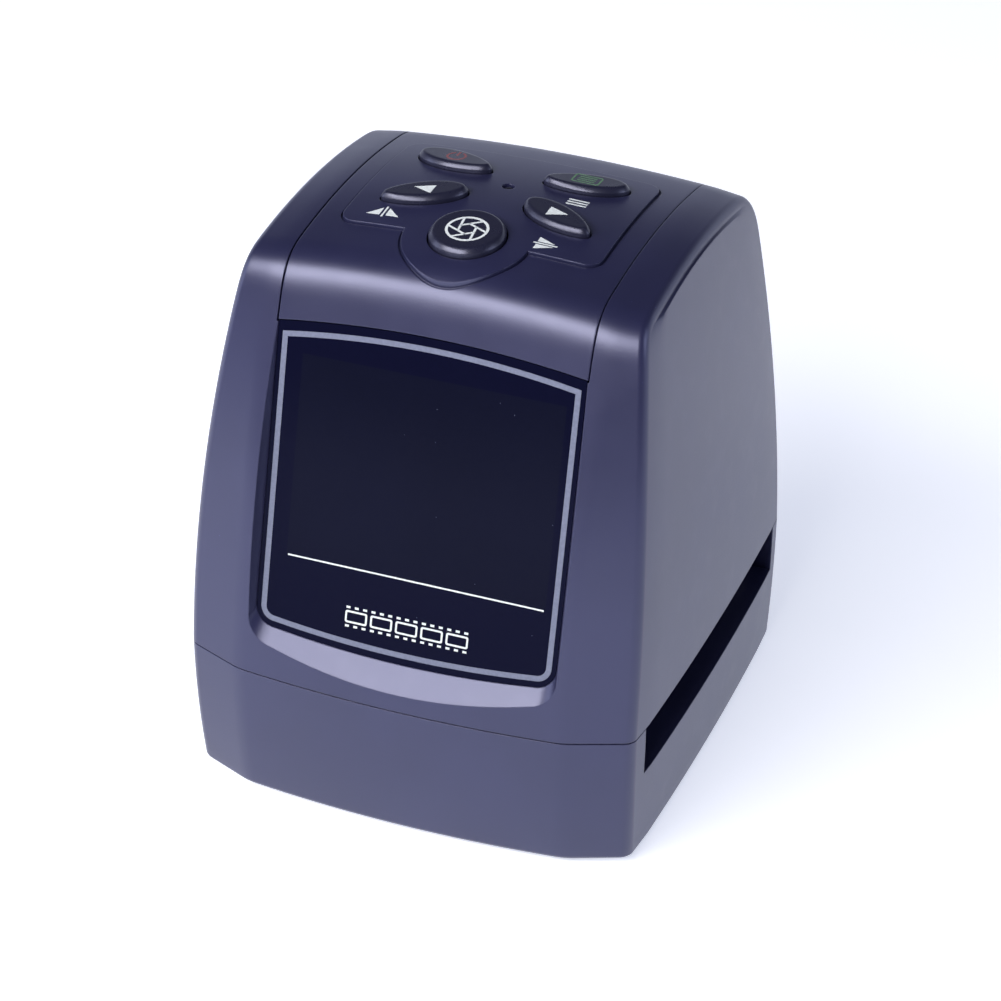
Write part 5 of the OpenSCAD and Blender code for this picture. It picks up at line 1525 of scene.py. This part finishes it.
class SCANNER_OT_inner_parts(bpy.types.Operator):
    """Gives every part that keeps its frame mesh its finish"""
    bl_idname = "scanner.inner_parts"
    bl_label = "Inner parts"
    bl_options = {"REGISTER", "UNDO"}

    def execute(self, context):
        named = [material["slot"] for material in frame["record"]["materials"]]
        for node, obj in frame["nodes"].items():
            old = obj.data.materials[0].name if obj.data.materials else ""
            slots = [slot for slot in named if slot in old]
            if not slots:
                raise RuntimeError(f"{node} names no finish")
            obj.data.materials.clear()
            obj.data.materials.append(finish_of(slots[-1]))
        return {"FINISHED"}


class SCANNER_OT_stage(bpy.types.Operator):
    """Lays the floor and sets the lamps, the world and the camera"""
    bl_idname = "scanner.stage"
    bl_label = "Stage"
    bl_options = {"REGISTER", "UNDO"}
    # Lamps: place and size in metres, watts and tint; all look at one place in the case
    lamps = {"front_box": ((-0.30, -0.71, 0.69), (1.05, 0.36), 13.0, (1.0, 0.96, 0.90)),
             "side_box": ((1.00, 0.00, 0.45), (0.45, 0.45), 1.8, (0.80, 0.84, 1.0)),
             "left_box": ((-0.95, -0.25, 0.35), (0.4, 0.5), 1.8, (0.80, 0.84, 1.0))}
    aim = (0, 0, 0.055)
    floor_size, floor_depth = 40.0, 0.02
    # The camera that was fitted to the photograph: pixels, millimetres and radians
    photo_width, focal, centre = 1001, 3526.63, (497.18, 502.62)
    place, turn, tilt, roll = (204.72, -513.09, 382.33), 0.376668, 1.023195, 0.007756
    sensor = 36

    def execute(self, context):
        scene = context.scene
        scene.view_settings.view_transform = "Standard"
        self.floor()
        scene.world = self.room()
        for name, (place, size, power, tint) in self.lamps.items():
            light = bpy.data.lights.new(name, "AREA")
            light.shape, light.size, light.size_y = "RECTANGLE", *size
            light.energy, light.color = power, tint
            lamp = bpy.data.objects.new(name, light)
            lamp.location = place
            lamp.rotation_euler = (Vector(self.aim) - lamp.location).to_track_quat(
                "-Z", "Y").to_euler()
            scene.collection.objects.link(lamp)
        scene.camera = self.camera()
        scene.collection.objects.link(scene.camera)
        return {"FINISHED"}

    def floor(self):
        """A pale floor, which shows white where the camera or a reflection sees it."""
        size = self.floor_size / MM
        floor = block(size, size, -self.floor_depth / MM - FOOT_RISE, -FOOT_RISE)
        floor.name = "floor"
        shader = Shader("pale_floor")
        paper = shader.noise(40, 3)
        tone = shader.blend(paper, (0.83, 0.85, 0.89), (0.85, 0.87, 0.91))
        cover = shader.node("BsdfDiffuse", {}, {"Color": tone})
        glow = shader.node("Emission", {}, {"Color": (0.84, 0.88, 1.0), "Strength": 0.66})
        both = shader.node("AddShader", {}, {0: cover, 1: glow})
        seen, *others = (shader.node("LightPath", output=f"Is {kind} Ray")
                         for kind in ("Camera", "Glossy", "Transmission"))
        for other in others:
            seen = seen.math("MAXIMUM", other)
        look = shader.node("MixShader", {}, {0: seen, 1: cover, 2: both})
        shader.node("OutputMaterial", {}, {"Surface": look})
        floor.data.materials.append(shader.material)

    def room(self):
        """A white backdrop low behind the object; the room is dim above and in front."""
        sky = Shader("studio", bpy.data.worlds, "Generated")
        _, away, up = sky.axes(sky.place)
        backdrop = up.ramp(0.15, 0.5, 1.0, 0.0) * away.ramp(-0.1, 0.6)
        tone = sky.blend(backdrop, (0.035, 0.037, 0.060), (0.80, 0.85, 1.0))
        back = sky.node("Background", {}, {"Color": tone, "Strength": 1.0})
        sky.node("OutputWorld", {}, {"Surface": back})
        return sky.material

    def camera(self):
        """The camera at the photograph's place, with its view shifted to the same middle."""
        width, (middle_x, middle_y) = self.photo_width, self.centre
        camera = bpy.data.cameras.new("camera")
        camera.sensor_width = self.sensor
        camera.lens = self.focal * self.sensor / width
        camera.shift_x = (width / 2 - middle_x) / width
        camera.shift_y = (middle_y - width / 2) / width
        camera.clip_start, camera.clip_end = 0.05, 20
        holder = bpy.data.objects.new("camera", camera)
        holder.matrix_world = (
            Matrix.Translation(Vector(self.place) * MM) @ Matrix.Rotation(self.turn, 4, "Z")
            @ Matrix.Rotation(self.tilt, 4, "X") @ Matrix.Rotation(self.roll, 4, "Z"))
        return holder


class SCANNER_PT_panel(bpy.types.Panel):
    """Lists the sizes, the colours and the pieces"""
    bl_idname = "SCANNER_PT_panel"
    bl_label = "Film Scanner"
    bl_space_type = "VIEW_3D"
    bl_region_type = "UI"
    bl_category = "Scanner"

    def draw(self, context):
        for group, kind in GROUPS.items():
            box = self.layout.box()
            box.label(text=kind.__doc__)
            for name in kind.__annotations__:
                box.prop(getattr(context.scene, group), name)
        for piece in PIECES:
            self.layout.operator(piece.bl_idname)


PIECES = (SCANNER_OT_base, SCANNER_OT_housing, SCANNER_OT_panel, SCANNER_OT_rear_cover,
          SCANNER_OT_window, SCANNER_OT_keys, SCANNER_OT_field_signs, SCANNER_OT_status_light,
          SCANNER_OT_inner_parts, SCANNER_OT_stage)


def register():
    for kind in (*GROUPS.values(), *PIECES, SCANNER_PT_panel):
        bpy.utils.register_class(kind)
    for name, kind in GROUPS.items():
        setattr(bpy.types.Scene, name, PointerProperty(type=kind))


def unregister():
    for name in GROUPS:
        delattr(bpy.types.Scene, name)
    for kind in reversed((*GROUPS.values(), *PIECES, SCANNER_PT_panel)):
        bpy.utils.unregister_class(kind)


def main():
    """Makes every piece in order."""
    register()
    for piece in PIECES:
        group, name = piece.bl_idname.split(".")
        getattr(getattr(bpy.ops, group), name)()
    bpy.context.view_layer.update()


if __name__ == "__main__":
    main()
